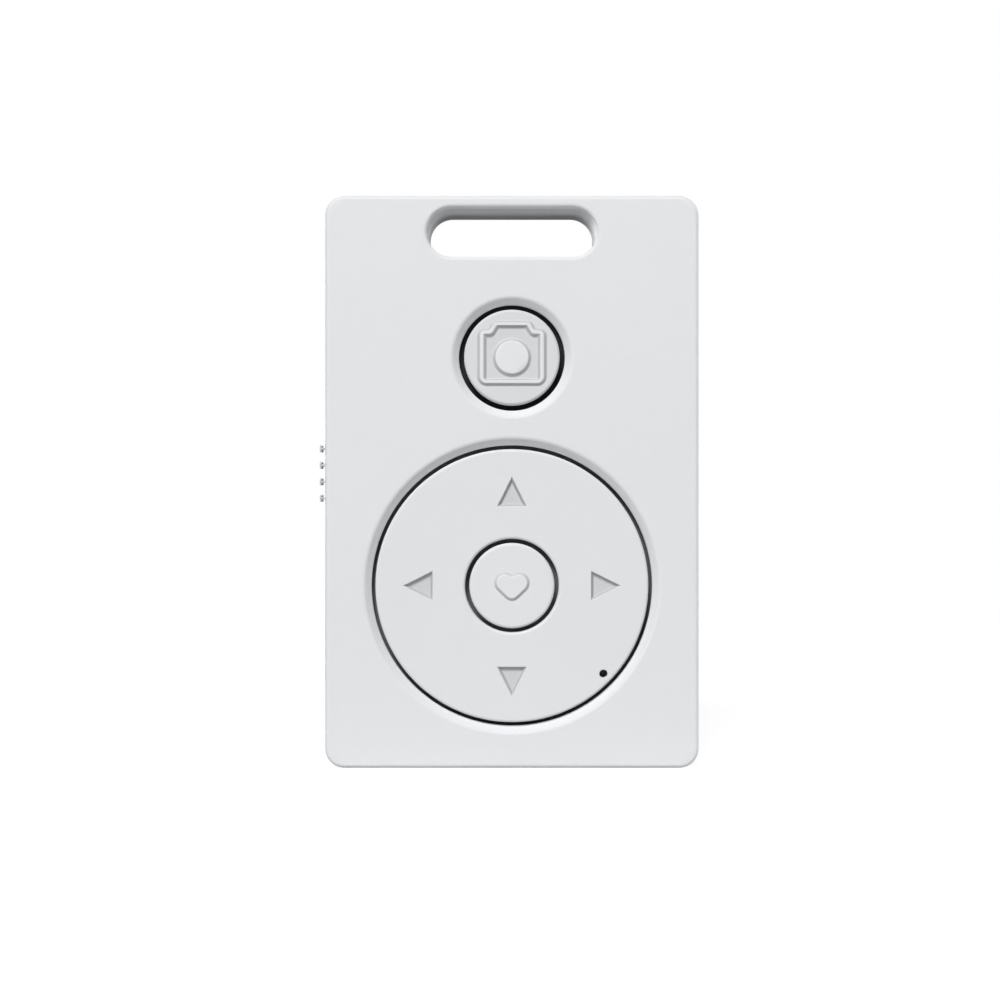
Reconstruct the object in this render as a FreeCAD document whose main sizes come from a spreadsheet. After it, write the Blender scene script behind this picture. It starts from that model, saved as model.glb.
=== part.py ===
import FreeCAD, Part
import math
import os
import re
import Sketcher
from FreeCAD import Placement, Rotation, Vector

# A card-shaped camera remote: two half shells round a key board, three keys, a slide switch and a
# coin cell behind a coin-turned door. It stands on its lower edge: X is to the right of someone
# facing it, Z is up and the front looks along -Y. "Height" below is the distance in front of the
# parting plane, so the front face is at height case_depth / 2 and the back at minus that.

doc = FreeCAD.newDocument("CameraRemote")
sheet = doc.addObject("Spreadsheet::Sheet", "Sizes")

SIZES = {
    # case
    "case_width": 39.2,
    "case_height": 60,
    "case_depth": 8,
    "case_corner": 2.05,
    "case_edge": 0.45,
    "case_wall": 1.2,
    # strap slot through the top
    "slot_length": 17.7,
    "slot_width": 5.03,
    "slot_lip": 0.47,
    "strap_bar": 1.305,
    # the three keys and the dished wells they sit in; the margins share what room the height leaves
    "lower_margin": 2.25,
    "key_margin": 1.76,
    "upper_margin": 2.935,
    "shutter_diameter": 10.03,
    "shutter_gap": 0.545,
    "ring_diameter": 28.62,
    "ring_gap": 0.43,
    "heart_diameter": 8.94,
    "heart_gap": 0.445,
    "dish_width": 0.93,
    "dish_depth": 0.55,
    "cap_thickness": 1.3,
    "cap_edge": 0.25,
    # symbols on the keys
    "symbol_rise": 0.3,
    "camera_width": 7.14,
    "camera_below": 2.85,
    "camera_shoulder": 2.87,
    "camera_hump": 0.75,
    "camera_hump_width": 4.2,
    "camera_rim": 0.55,
    "camera_corner": 0.85,
    "lens_diameter": 3.8,
    "lobe_radius": 0.95,
    "lobe_offset": 0.88,
    "lobe_rise": 0.4,
    "heart_tip": 1.5,
    "arrow_shift": 0.23,
    "arrow_length": 3.0,
    "arrow_width": 3.0,
    "arrow_depth": 0.45,
    # indicator light, seen through a hole in the ring
    "light_inset": 1.0,
    "light_angle": -43.9,
    "light_hole": 0.86,
    "light_length": 1.6,
    "light_width": 0.8,
    "light_height": 0.4,
    # silicone under the caps
    "pad_thickness": 0.4,
    "pad_inset": 0.3,
    "web_thickness": 0.2,
    "foot_inset": 0.28,
    "foot_width": 0.6,
    "foot_gap": 0.05,
    "plunger_diameter": 2.6,
    "plunger_gap": 0.06,
    # snap domes and the contacts under them
    "dome_diameter": 5,
    "dome_height": 0.3,
    "dome_sheet": 0.08,
    "dome_rim": 0.4,
    "contact_thickness": 0.05,
    "contact_diameter": 1.6,
    "film_thickness": 0.1,
    "film_gap": 0.2,
    "film_inset": 0.5,
    # circuit board and what is soldered to it
    "key_space": 1.3,
    "board_thickness": 0.6,
    "board_gap": 1.0,
    "board_boss": 3.4,
    "board_post": 2.3,
    "board_screw_inset": 4.9,
    "board_screw_below": 4.6,
    "chip_size": 5,
    "chip_height": 0.9,
    "crystal_length": 3.2,
    "crystal_width": 2.5,
    "crystal_height": 0.7,
    "small_part_length": 1.0,
    "small_part_width": 0.5,
    "capacitor_height": 0.5,
    "resistor_height": 0.35,
    "small_part_offset": 7.5,
    "radio_below": 11.5,
    "antenna_length": 16,
    "antenna_band": 3,
    "antenna_strip": 0.5,
    "antenna_thickness": 0.05,
    # slide switch and its knob in the left edge
    "slider_rise": 30.92,
    "slider_travel": 2.0,
    "slider_length": 6.6,
    "slider_depth": 3.0,
    "slider_plate": 0.25,
    "slider_gap": 0.15,
    "slider_neck": 4.5,
    "slider_neck_depth": 1.8,
    "slider_flange": 0.6,
    "slider_flange_lap": 1.2,
    "ridge_pitch": 1.73,
    "ridge_rise": 0.2,
    "ridge_radius": 0.27,
    "switch_length": 6.7,
    "switch_width": 2.7,
    "switch_height": 1.4,
    "switch_sheet": 0.2,
    "switch_base_height": 0.35,
    "switch_gap": 0.2,
    "lever_width": 1.2,
    "lever_thickness": 0.6,
    "lever_block": 2.8,
    "lever_fit": 0.05,
    "terminal_width": 0.5,
    "terminal_length": 0.8,
    "terminal_thickness": 0.2,
    # coin cell, its contacts and its door
    "cell_rise": 21,
    "cell_diameter": 20,
    "cell_height": 2.5,
    "cell_sheet": 0.25,
    "cell_fit": 0.03,
    "gasket_width": 0.8,
    "door_gap": 0.12,
    "door_room": 0.3,
    "door_step": 0.6,
    "door_ledge": 0.9,
    "door_wall": 0.8,
    "lug_length": 1.0,
    "lug_width": 4,
    "lug_thickness": 0.6,
    "lug_angle": 35,
    "coin_slot_length": 15,
    "coin_slot_width": 1.8,
    "coin_slot_depth": 0.6,
    "well_wall": 0.8,
    "contact_sheet": 0.2,
    "contact_width": 4,
    "contact_span": 6,
    # screws
    "screw_inset": 2.9,
    "screw_diameter": 1.6,
    "screw_reach": 1.8,
    "screw_head": 3.0,
    "screw_head_height": 0.8,
    "screw_sink": 0.3,
    "screw_fit": 0.1,
    "thread_fit": 0.02,
    "screw_boss": 3.8,
    "cross_length": 1.6,
    "cross_width": 0.4,
    "cross_depth": 0.4,
    "board_screw_reach": 1.2,
}

for row, (alias, size) in enumerate(SIZES.items(), start=1):
    sheet.set(f"A{row}", alias)
    sheet.set(f"B{row}", str(size))
    sheet.setAlias(f"B{row}", alias)
doc.recompute()

# Places that several pieces share, worked out from the sizes above
FACE = "(case_depth / 2)"
FRONT_INSIDE = "(case_depth / 2 - case_wall)"
BACK_INSIDE = "(case_wall - case_depth / 2)"
HALF_WIDTH = "(case_width / 2)"
HALF_INSIDE = "(case_width / 2 - case_wall)"
SLOT_RISE = "(case_height - strap_bar - slot_width / 2)"
CAVITY_TOP = "(case_height - strap_bar - slot_width - case_wall)"
DISH_CURVE = "((dish_width ^ 2 + dish_depth ^ 2) / dish_depth / 2)"
RING_WELL = "(ring_diameter / 2 + ring_gap + dish_width)"
SHUTTER_WELL = "(shutter_diameter / 2 + shutter_gap + dish_width)"
ROOM_SHARE = (f"(({CAVITY_TOP} - case_wall - 2 * {RING_WELL} - 2 * {SHUTTER_WELL})"
              " / (lower_margin + key_margin + upper_margin))")
RING_RISE = f"(case_wall + lower_margin * {ROOM_SHARE} + {RING_WELL})"
SHUTTER_RISE = f"({RING_RISE} + {RING_WELL} + key_margin * {ROOM_SHARE} + {SHUTTER_WELL})"
RING_BORE = "(heart_diameter / 2 + heart_gap)"
KEY_CIRCLE = f"(ring_diameter / 4 + {RING_BORE} / 2)"
LIGHT_RIGHT = "((ring_diameter / 2 - light_inset) * cos(light_angle))"
LIGHT_ABOVE = "((ring_diameter / 2 - light_inset) * sin(light_angle))"
CAP_BACK = "(case_depth / 2 - cap_thickness)"
PAD_BACK = "(case_depth / 2 - cap_thickness - pad_thickness)"
BOARD_FRONT = "(case_depth / 2 - case_wall - key_space)"
BOARD_BACK = "(case_depth / 2 - case_wall - key_space - board_thickness)"
FOOT_BACK = f"({BOARD_FRONT} + film_thickness)"
FOOT_FRONT = f"({FRONT_INSIDE} - foot_gap)"
DOME_BACK = f"({BOARD_FRONT} + contact_thickness)"
PLUNGER_BACK = f"({DOME_BACK} + dome_height + plunger_gap)"
BOARD_HALF = f"({HALF_INSIDE} - board_gap)"
BOARD_LOW = "(case_wall + board_gap / 2)"
BOARD_HIGH = f"({CAVITY_TOP} - board_gap / 2)"
BOARD_SCREW = (f"({HALF_INSIDE} - board_screw_inset)", f"({BOARD_HIGH} - board_screw_below)")
BOARD_POST = (f"({HALF_INSIDE} - board_screw_inset)", "(screw_inset + screw_boss)")
RADIO_RISE = f"({BOARD_HIGH} - radio_below)"
CELL_BACK = f"({BACK_INSIDE} + door_gap)"
CELL_FRONT = f"({BACK_INSIDE} + door_gap + cell_height)"
DOOR_WALL_IN = "(cell_diameter / 2 + door_room)"
DOOR_HUB = "(cell_diameter / 2 + door_room + door_wall)"
DOOR_RIM = "(cell_diameter / 2 + door_room + door_wall + door_ledge)"
SCREW_LOW = ("(case_width / 2 - screw_inset)", "screw_inset")
SCREW_HIGH = ("(case_width / 4 + slot_length / 4)", SLOT_RISE)
LEVER_HEIGHT = f"({BOARD_BACK} - switch_height / 2)"
SWITCH_RISE = "(slider_rise + slider_travel / 2)"
FLANGE_OUT = f"({HALF_INSIDE} - slider_gap)"
FLANGE_IN = f"({HALF_INSIDE} - slider_gap - slider_flange)"
SWITCH_OUT = f"({FLANGE_IN} - switch_gap)"
SWITCH_IN = f"({SWITCH_OUT} - switch_width)"
SIDES = (-1, 1)

pieces = []


def sized(expression):
    """The expression with each size's name pointed at the sheet."""
    def point(word):
        return f"Sizes.{word[0]}" if word[0] in SIZES else word[0]

    return re.sub(r"[a-z_]+", point, expression)


def value(expression):
    return float(sheet.evalExpression(sized(expression)))


def bind(item, **expressions):
    for path, expression in expressions.items():
        item.setExpression(path.replace("__", "."), sized(expression))
    return item


def new_body(name):
    body = doc.addObject("PartDesign::Body", name)
    body.Label = name
    body.AllowCompound = True
    pieces.append(body)
    return body


def origin_item(body, role):
    return [item for item in body.Origin.OriginFeatures if item.Role == role][0]


def front_sketch(body, height, rise="0", turn="0"):
    """A sketch that faces the front: its x is X, its y is Z above the given rise."""
    sketch = body.newObject("Sketcher::SketchObject", "Outline")
    sketch.AttachmentSupport = [(origin_item(body, "XZ_Plane"), "")]
    sketch.MapMode = "FlatFace"
    bind(sketch, AttachmentOffset__Base__z=height, AttachmentOffset__Base__y=rise)
    if turn != "0":
        sketch.AttachmentOffset = Placement(Vector(), Rotation(Vector(0, 0, 1), 1))
        bind(sketch, AttachmentOffset__Rotation__Angle=turn)
    return sketch


def turned_sketch(body, rise="0"):
    """A sketch for a round form: its x is the radius and its y is minus the height."""
    sketch = body.newObject("Sketcher::SketchObject", "Profile")
    sketch.AttachmentSupport = [(origin_item(body, "XY_Plane"), "")]
    sketch.MapMode = "FlatFace"
    bind(sketch, AttachmentOffset__Base__z=rise)
    return sketch


def place(sketch, geometry, point, x=None, y=None):
    for kind, expression in (("DistanceX", x), ("DistanceY", y)):
        if expression is not None:
            distance = Sketcher.Constraint(kind, -1, 1, geometry, point, value(expression))
            index = sketch.addConstraint(distance)
            sketch.setExpression(f"Constraints[{index}]", sized(expression))


def set_radius(sketch, geometry, expression):
    index = sketch.addConstraint(Sketcher.Constraint("Radius", geometry, value(expression)))
    sketch.setExpression(f"Constraints[{index}]", sized(expression))


def circle(sketch, x, y, radius):
    centre = Vector(value(x), value(y), 0)
    geometry = sketch.addGeometry(Part.Circle(centre, Vector(0, 0, 1), value(radius)))
    place(sketch, geometry, 3, x, y)
    set_radius(sketch, geometry, radius)


def loop(sketch, points):
    """A closed outline. A point is (x, y), reached by a line, or (x, y, centre x, centre y, radius,
    way), reached by an arc that turns anticlockwise where way is 1 and clockwise where it is -1."""
    at = [Vector(value(p[0]), value(p[1]), 0) for p in points]
    ends = []
    arcs = {}
    for i, point in enumerate(points):
        start, end = at[i - 1], at[i]
        if len(point) == 2:
            geometry = sketch.addGeometry(Part.LineSegment(start, end))
            ends.append((geometry, 1, 2))
            continue
        centre = Vector(value(point[2]), value(point[3]), 0)
        first, last = (start, end) if point[5] > 0 else (end, start)
        angles = [math.atan2(p.y - centre.y, p.x - centre.x) for p in (first, last)]
        round_line = Part.Circle(centre, Vector(0, 0, 1), value(point[4]))
        geometry = sketch.addGeometry(Part.ArcOfCircle(round_line, angles[0], angles[1]))
        ends.append((geometry, 1, 2) if point[5] > 0 else (geometry, 2, 1))
        place(sketch, geometry, 3, point[2], point[3])
        set_radius(sketch, geometry, point[4])
        for corner in ((i - 1) % len(points), i):
            arcs.setdefault(corner, []).append(centre)
    for i in range(len(points)):
        line, _, end = ends[i]
        next_line, next_start, _ = ends[(i + 1) % len(points)]
        sketch.addConstraint(Sketcher.Constraint("Coincident", line, end, next_line, next_start))
        x, y = points[i][0], points[i][1]
        centres = arcs.get(i, [])
        if len(centres) == 2:
            continue
        if centres:
            arm = at[i] - centres[0]
            x, y = (None, y) if abs(arm.x) > abs(arm.y) else (x, None)
        place(sketch, line, end, x, y)


def rectangle(sketch, left, right, low, high):
    loop(sketch, [(left, low), (right, low), (right, high), (left, high)])


def obround(sketch, rise, length, width):
    flat = f"({length} - {width}) / 2"
    low, high, radius = f"{rise} - {width} / 2", f"{rise} + {width} / 2", f"{width} / 2"
    loop(sketch, [
        (flat, low),
        (flat, high, flat, rise, radius, 1),
        (f"-({flat})", high),
        (f"-({flat})", low, f"-({flat})", rise, radius, 1),
    ])


def add(body, sketch, length):
    """Grows the outline towards the front."""
    pad = body.newObject("PartDesign::Pad", "Pad")
    pad.Profile = sketch
    bind(pad, Length=length)
    return pad


def cut(body, sketch, length, forwards=False):
    """Cuts the outline towards the back, or towards the front."""
    pocket = body.newObject("PartDesign::Pocket", "Pocket")
    pocket.Profile = sketch
    pocket.Reversed = forwards
    bind(pocket, Length=length)
    return pocket


def cut_through(body, sketch):
    pocket = body.newObject("PartDesign::Pocket", "Opening")
    pocket.Profile = sketch
    pocket.Type = "ThroughAll"
    pocket.Midplane = True
    return pocket


def profile_points(points):
    """Points given as (radius, height), as a turned sketch's own x and y, where y is minus height."""
    flipped = []
    for radius, height, *arc in points:
        if arc:
            arc = [arc[0], f"-({arc[1]})", arc[2], -arc[3]]
        flipped.append((radius, f"-({height})", *arc))
    return flipped


def turn(body, points, rise="0", groove=False):
    """A round form about the line along Y at the given rise; its points are (radius, height)."""
    sketch = turned_sketch(body, rise)
    loop(sketch, profile_points(points))
    kind = "PartDesign::Groove" if groove else "PartDesign::Revolution"
    form = body.newObject(kind, "Turned")
    form.Profile = sketch
    form.ReferenceAxis = (sketch, ["V_Axis"])
    form.Angle = 360
    return form


def soften(body, base, choose, radius):
    """Rounds the edges of the base for which choose(edge) is true."""
    doc.recompute()
    names = [f"Edge{i}" for i, edge in enumerate(base.Shape.Edges, start=1) if choose(edge)]
    fillet = body.newObject("PartDesign::Fillet", "Fillet")
    fillet.Base = (base, names)
    bind(fillet, Radius=radius)
    return fillet


def along_depth(edge):
    box = edge.BoundBox
    return box.XLength < 1e-4 and box.ZLength < 1e-4


def at_height(edge, height):
    box = edge.BoundBox
    return box.YLength < 1e-4 and abs(box.YMin + value(height)) < 1e-4


def within(edge, low, high):
    return edge.BoundBox.ZMin > low and edge.BoundBox.ZMax < high


def box_piece(name, left, right, back, front, low, high):
    """A plain block from its limits along X, in height and along Z."""
    block = doc.addObject("Part::Box", name)
    block.Label = name
    bind(block, Length=f"{right} - ({left})", Width=f"{front} - ({back})", Height=f"{high} - ({low})")
    bind(block, Placement__Base__x=left, Placement__Base__y=f"-({front})", Placement__Base__z=low)
    pieces.append(block)
    return block


def half_shell(name, back, front):
    """Half of the case: an outline with round corners, hollow from the parting plane, with the slot."""
    outer = FACE if name == "front_cover" else f"-{FACE}"
    forwards = name == "front_cover"
    body = new_body(name)
    outline = front_sketch(body, back)
    rectangle(outline, f"-{HALF_WIDTH}", HALF_WIDTH, "0", "case_height")
    block = add(body, outline, f"{front} - ({back})")
    rounded = soften(body, block, along_depth, "case_corner")
    edged = soften(body, rounded, lambda edge: at_height(edge, outer), "case_edge")
    hollow = front_sketch(body, "0")
    rectangle(hollow, f"-{HALF_INSIDE}", HALF_INSIDE, "case_wall", CAVITY_TOP)
    cut(body, hollow, FRONT_INSIDE, forwards)
    slot = front_sketch(body, "0")
    obround(slot, SLOT_RISE, "slot_length", "slot_width")
    opening = cut_through(body, slot)
    low = value(f"{SLOT_RISE} - slot_width / 2") - 0.01
    high = value(f"{SLOT_RISE} + slot_width / 2") + 0.01
    reach = value("slot_length / 2") + 0.01
    soften(body, opening, lambda edge: at_height(edge, outer) and within(edge, low, high)
           and max(abs(edge.BoundBox.XMin), abs(edge.BoundBox.XMax)) < reach, "slot_lip")
    return body


def key_well(body, rise, diameter, gap):
    """A round opening for a key, with a dish that curves in from the face."""
    hole = f"({diameter} / 2 + {gap})"
    turn(body, [
        ("0", FACE),
        (f"{hole} + dish_width", FACE),
        (hole, f"{FACE} - dish_depth", f"{hole} + dish_width", f"{FACE} - {DISH_CURVE}", DISH_CURVE, 1),
        (hole, FRONT_INSIDE),
        ("0", FRONT_INSIDE),
    ], rise, groove=True)


def circles_both_sides(sketch, places, radius):
    for x, z in places:
        for side in SIDES:
            circle(sketch, f"{side} * {x}", z, radius)


def slider_window(body, height, forwards):
    """The half of the slider's window that is cut in this half shell."""
    window = front_sketch(body, "0")
    low = "slider_rise - slider_neck / 2 - slider_gap"
    high = "slider_rise + slider_neck / 2 + slider_travel + slider_gap"
    rectangle(window, f"-({HALF_WIDTH} + case_wall)", f"-({HALF_INSIDE} - slider_gap)", low, high)
    cut(body, window, height, forwards)


def make_front_cover():
    body = half_shell("front_cover", "0", FACE)
    key_well(body, SHUTTER_RISE, "shutter_diameter", "shutter_gap")
    key_well(body, RING_RISE, "ring_diameter", "ring_gap")
    board_bosses = front_sketch(body, BOARD_FRONT)
    circles_both_sides(board_bosses, [BOARD_SCREW], "board_boss / 2")
    add(body, board_bosses, "key_space")
    case_bosses = front_sketch(body, "0")
    circles_both_sides(case_bosses, [SCREW_LOW], "screw_boss / 2")
    add(body, case_bosses, FRONT_INSIDE)
    board_pilots = front_sketch(body, BOARD_FRONT)
    circles_both_sides(board_pilots, [BOARD_SCREW], "screw_diameter / 2 + thread_fit")
    cut(body, board_pilots, "board_screw_reach + thread_fit", forwards=True)
    pilots = front_sketch(body, "0")
    circles_both_sides(pilots, [SCREW_LOW, SCREW_HIGH], "screw_diameter / 2 + thread_fit")
    cut(body, pilots, "screw_reach + thread_fit", forwards=True)
    slider_window(body, f"{LEVER_HEIGHT} + slider_neck_depth / 2 + slider_gap", True)


def make_rear_cover():
    body = half_shell("rear_cover", f"-{FACE}", "0")
    case_bosses = front_sketch(body, BACK_INSIDE)
    circles_both_sides(case_bosses, [SCREW_LOW], "screw_boss / 2")
    add(body, case_bosses, f"-{BACK_INSIDE}")
    posts = front_sketch(body, BACK_INSIDE)
    circles_both_sides(posts, [BOARD_POST], "board_post / 2")
    add(body, posts, f"{BOARD_BACK} - {BACK_INSIDE}")
    well = front_sketch(body, BACK_INSIDE, "cell_rise")
    circle(well, "0", "0", f"{DOOR_RIM} + well_wall * 2")
    circle(well, "0", "0", f"{DOOR_RIM} + well_wall")
    add(body, well, f"{CELL_FRONT} - {BACK_INSIDE} - well_wall")
    seat = f"({DOOR_RIM} + door_gap)"
    turn(body, [
        ("0", f"-{FACE}"),
        (seat, f"-{FACE}"),
        (seat, f"-{FACE} + door_step"),
        (f"{seat} - door_ledge", f"-{FACE} + door_step"),
        (f"{seat} - door_ledge", BACK_INSIDE),
        ("0", BACK_INSIDE),
    ], "cell_rise", groove=True)
    notch = front_sketch(body, BACK_INSIDE, "cell_rise", "-lug_angle")
    half = "(lug_width / 2 + door_gap * 2)"
    rectangle(notch, f"-{half}", half, f"{seat} - door_ledge - door_gap",
              f"{DOOR_HUB} + lug_length + door_gap * 2")
    first = cut(body, notch, "case_wall - door_step")
    around = body.newObject("PartDesign::PolarPattern", "Notches")
    around.Originals = [first]
    around.Axis = (notch, ["N_Axis"])
    around.Angle = 360
    around.Occurrences = 3
    body.Tip = around
    shafts = front_sketch(body, "0")
    circles_both_sides(shafts, [SCREW_LOW, SCREW_HIGH], "screw_diameter / 2 + screw_fit")
    cut(body, shafts, FACE)
    heads = front_sketch(body, f"-{FACE}")
    circles_both_sides(heads, [SCREW_LOW, SCREW_HIGH], "screw_head / 2 + screw_fit")
    cut(body, heads, "screw_head_height + screw_sink", forwards=True)
    slider_window(body, f"slider_neck_depth / 2 + slider_gap - {LEVER_HEIGHT}", False)


def make_screws(name, places, head_back, shaft_front):
    """Pan-head screws, driven from the back, with a cross in the head."""
    body = new_body(name)
    heads = front_sketch(body, head_back)
    circles_both_sides(heads, places, "screw_head / 2")
    head = add(body, heads, "screw_head_height")
    soften(body, head, lambda edge: at_height(edge, head_back), "screw_head_height / 3")
    shafts = front_sketch(body, f"{head_back} + screw_head_height")
    circles_both_sides(shafts, places, "screw_diameter / 2")
    add(body, shafts, f"{shaft_front} - ({head_back}) - screw_head_height")
    for length, width in (("cross_length", "cross_width"), ("cross_width", "cross_length")):
        cross = front_sketch(body, head_back)
        for x, z in places:
            for side in SIDES:
                centre = f"({side} * {x})"
                rectangle(cross, f"{centre} - {length} / 2", f"{centre} + {length} / 2",
                          f"{z} - {width} / 2", f"{z} + {width} / 2")
        cut(body, cross, "cross_depth", forwards=True)


def make_cap(name, rise, radius, bore=None):
    """A hard key cap: a disc or ring with a small round on its front edges."""
    body = new_body(name)
    bind(body, Placement__Base__z=rise)
    outline = front_sketch(body, CAP_BACK)
    circle(outline, "0", "0", radius)
    if bore:
        circle(outline, "0", "0", bore)
    disc = add(body, outline, "cap_thickness")
    soften(body, disc, lambda edge: at_height(edge, FACE), "cap_edge")
    return body


def make_shutter_button():
    body = make_cap("shutter_button", SHUTTER_RISE, "shutter_diameter / 2")
    symbol = front_sketch(body, FACE)
    for inset, corner in (("0", "camera_corner"), ("camera_rim", "(camera_corner - camera_rim)")):
        side = f"(camera_width / 2 - {inset})"
        low = f"({inset} - camera_below)"
        shoulder = f"(camera_shoulder - {inset})"
        hump = f"(camera_hump_width / 2 - {inset})"
        top = f"(camera_shoulder + camera_hump - {inset})"
        loop(symbol, [
            (f"{side} - {corner}", low),
            (side, f"{low} + {corner}", f"{side} - {corner}", f"{low} + {corner}", corner, 1),
            (side, shoulder),
            (hump, shoulder),
            (hump, top),
            (f"-{hump}", top),
            (f"-{hump}", shoulder),
            (f"-{side}", shoulder),
            (f"-{side}", f"{low} + {corner}"),
            (f"{corner} - {side}", low, f"{corner} - {side}", f"{low} + {corner}", corner, 1),
        ])
    circle(symbol, "0", "0", "lens_diameter / 2")
    add(body, symbol, "symbol_rise")


def make_heart_button():
    body = make_cap("heart_button", RING_RISE, "heart_diameter / 2")
    symbol = front_sketch(body, FACE)
    reach = "sqrt(lobe_offset ^ 2 + (lobe_rise + heart_tip) ^ 2)"
    side = f"sqrt({reach} ^ 2 - lobe_radius ^ 2)"
    lean = f"(atan((lobe_rise + heart_tip) / lobe_offset) - asin(lobe_radius / {reach}))"
    x, z = f"({side} * cos{lean})", f"({side} * sin{lean} - heart_tip)"
    notch = "lobe_rise + sqrt(lobe_radius ^ 2 - lobe_offset ^ 2)"
    loop(symbol, [
        ("0", "-heart_tip"),
        (x, z),
        ("0", notch, "lobe_offset", "lobe_rise", "lobe_radius", 1),
        (f"-{x}", z, "-lobe_offset", "lobe_rise", "lobe_radius", 1),
    ])
    add(body, symbol, "symbol_rise")


def make_nav_ring():
    body = make_cap("nav_ring", RING_RISE, "ring_diameter / 2", RING_BORE)
    arrow = front_sketch(body, FACE)
    base = f"({KEY_CIRCLE} + arrow_shift - arrow_length / 2)"
    loop(arrow, [
        ("-arrow_width / 2", base),
        ("arrow_width / 2", base),
        ("0", f"{base} + arrow_length"),
    ])
    first = cut(body, arrow, "arrow_depth")
    around = body.newObject("PartDesign::PolarPattern", "Arrows")
    around.Originals = [first]
    around.Axis = (arrow, ["N_Axis"])
    around.Angle = 360
    around.Occurrences = 4
    body.Tip = around
    light = front_sketch(body, FACE)
    circle(light, LIGHT_RIGHT, LIGHT_ABOVE, "light_hole / 2")
    cut_through(body, light)


def make_boot(name, rise, radius, gap):
    """The silicone under a round cap: plunger, pad, thin web and the foot that the case traps."""
    body = new_body(name)
    bind(body, Placement__Base__z=rise)
    pad = f"({radius} - pad_inset)"
    foot = f"({radius} + {gap} + foot_inset)"
    turn(body, [
        ("0", PLUNGER_BACK),
        ("plunger_diameter / 2", PLUNGER_BACK),
        ("plunger_diameter / 2", PAD_BACK),
        (foot, PAD_BACK),
        (foot, FOOT_BACK),
        (f"{foot} + foot_width", FOOT_BACK),
        (f"{foot} + foot_width", FOOT_FRONT),
        (foot, FOOT_FRONT),
        (foot, f"{PAD_BACK} + web_thickness"),
        (pad, f"{PAD_BACK} + web_thickness"),
        (pad, CAP_BACK),
        ("0", CAP_BACK),
    ])


def make_heart_boot():
    """The heart key's silicone stands on a low foot inside the ring's pad."""
    body = new_body("heart_key_rubber")
    bind(body, Placement__Base__z=RING_RISE)
    pad = "(heart_diameter / 2 - pad_inset)"
    foot = RING_BORE
    foot_top = f"({FOOT_BACK} + web_thickness * 2)"
    turn(body, [
        ("0", PLUNGER_BACK),
        ("plunger_diameter / 2", PLUNGER_BACK),
        ("plunger_diameter / 2", PAD_BACK),
        (f"{pad} - web_thickness", PAD_BACK),
        (foot, FOOT_BACK),
        (f"{foot} + foot_width", FOOT_BACK),
        (f"{foot} + foot_width", foot_top),
        (foot, foot_top),
        (pad, f"{PAD_BACK} + web_thickness"),
        (pad, CAP_BACK),
        ("0", CAP_BACK),
    ])


def make_nav_pad():
    """The ring's silicone: a ring pad with four plungers, a thin web and a trapped foot."""
    body = new_body("nav_pad_rubber")
    bind(body, Placement__Base__z=RING_RISE)
    bore = f"({RING_BORE} + pad_inset)"
    pad = "(ring_diameter / 2 - pad_inset)"
    foot = "(ring_diameter / 2 + ring_gap + foot_inset)"
    turn(body, [
        (bore, PAD_BACK),
        (foot, PAD_BACK),
        (foot, FOOT_BACK),
        (f"{foot} + foot_width", FOOT_BACK),
        (f"{foot} + foot_width", FOOT_FRONT),
        (foot, FOOT_FRONT),
        (foot, f"{PAD_BACK} + web_thickness"),
        (pad, f"{PAD_BACK} + web_thickness"),
        (pad, CAP_BACK),
        (bore, CAP_BACK),
    ])
    plungers = front_sketch(body, PLUNGER_BACK)
    for x, z in (("0", KEY_CIRCLE), ("0", f"-{KEY_CIRCLE}"), (KEY_CIRCLE, "0"), (f"-{KEY_CIRCLE}", "0")):
        circle(plungers, x, z, "plunger_diameter / 2")
    add(body, plungers, f"{PAD_BACK} - {PLUNGER_BACK}")
    light = front_sketch(body, FACE)
    circle(light, LIGHT_RIGHT, LIGHT_ABOVE, "light_hole")
    cut_through(body, light)


DOMES = {
    "dome_shutter": ("0", SHUTTER_RISE),
    "dome_heart": ("0", RING_RISE),
    "dome_up": ("0", f"{RING_RISE} + {KEY_CIRCLE}"),
    "dome_down": ("0", f"{RING_RISE} - {KEY_CIRCLE}"),
    "dome_left": (f"-{KEY_CIRCLE}", RING_RISE),
    "dome_right": (KEY_CIRCLE, RING_RISE),
}


def make_dome(name, x, z):
    """A steel snap dome: a shallow bowl of thin sheet, open towards the board."""
    body = new_body(name)
    bind(body, Placement__Base__x=x, Placement__Base__z=z)
    outer = "(dome_diameter / 2)"
    inner = "(dome_diameter / 2 - dome_rim)"
    rise = "(dome_height - dome_sheet)"
    outer_radius = f"(({outer} ^ 2 + dome_height ^ 2) / (2 * dome_height))"
    inner_radius = f"(({inner} ^ 2 + {rise} ^ 2) / (2 * {rise}))"
    crown, ceiling = f"({DOME_BACK} + dome_height)", f"({DOME_BACK} + {rise})"
    turn(body, [
        ("0", ceiling, "0", f"{ceiling} - {inner_radius}", inner_radius, 1),
        ("0", crown),
        (outer, DOME_BACK, "0", f"{crown} - {outer_radius}", outer_radius, -1),
        (inner, DOME_BACK),
    ])


def make_contacts():
    """Gold contacts on the board: a centre and a ring under each dome."""
    body = new_body("contact_pads")
    pads = front_sketch(body, BOARD_FRONT)
    for x, z in DOMES.values():
        circle(pads, x, z, "contact_diameter / 2")
        circle(pads, x, z, "dome_diameter / 2")
        circle(pads, x, z, "dome_diameter / 2 - dome_rim")
    add(body, pads, "contact_thickness")


def cut_corners(body, height, length, gap):
    notches = front_sketch(body, height)
    circles_both_sides(notches, [SCREW_LOW], f"screw_boss / 2 + {gap}")
    cut(body, notches, length, forwards=True)


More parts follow.
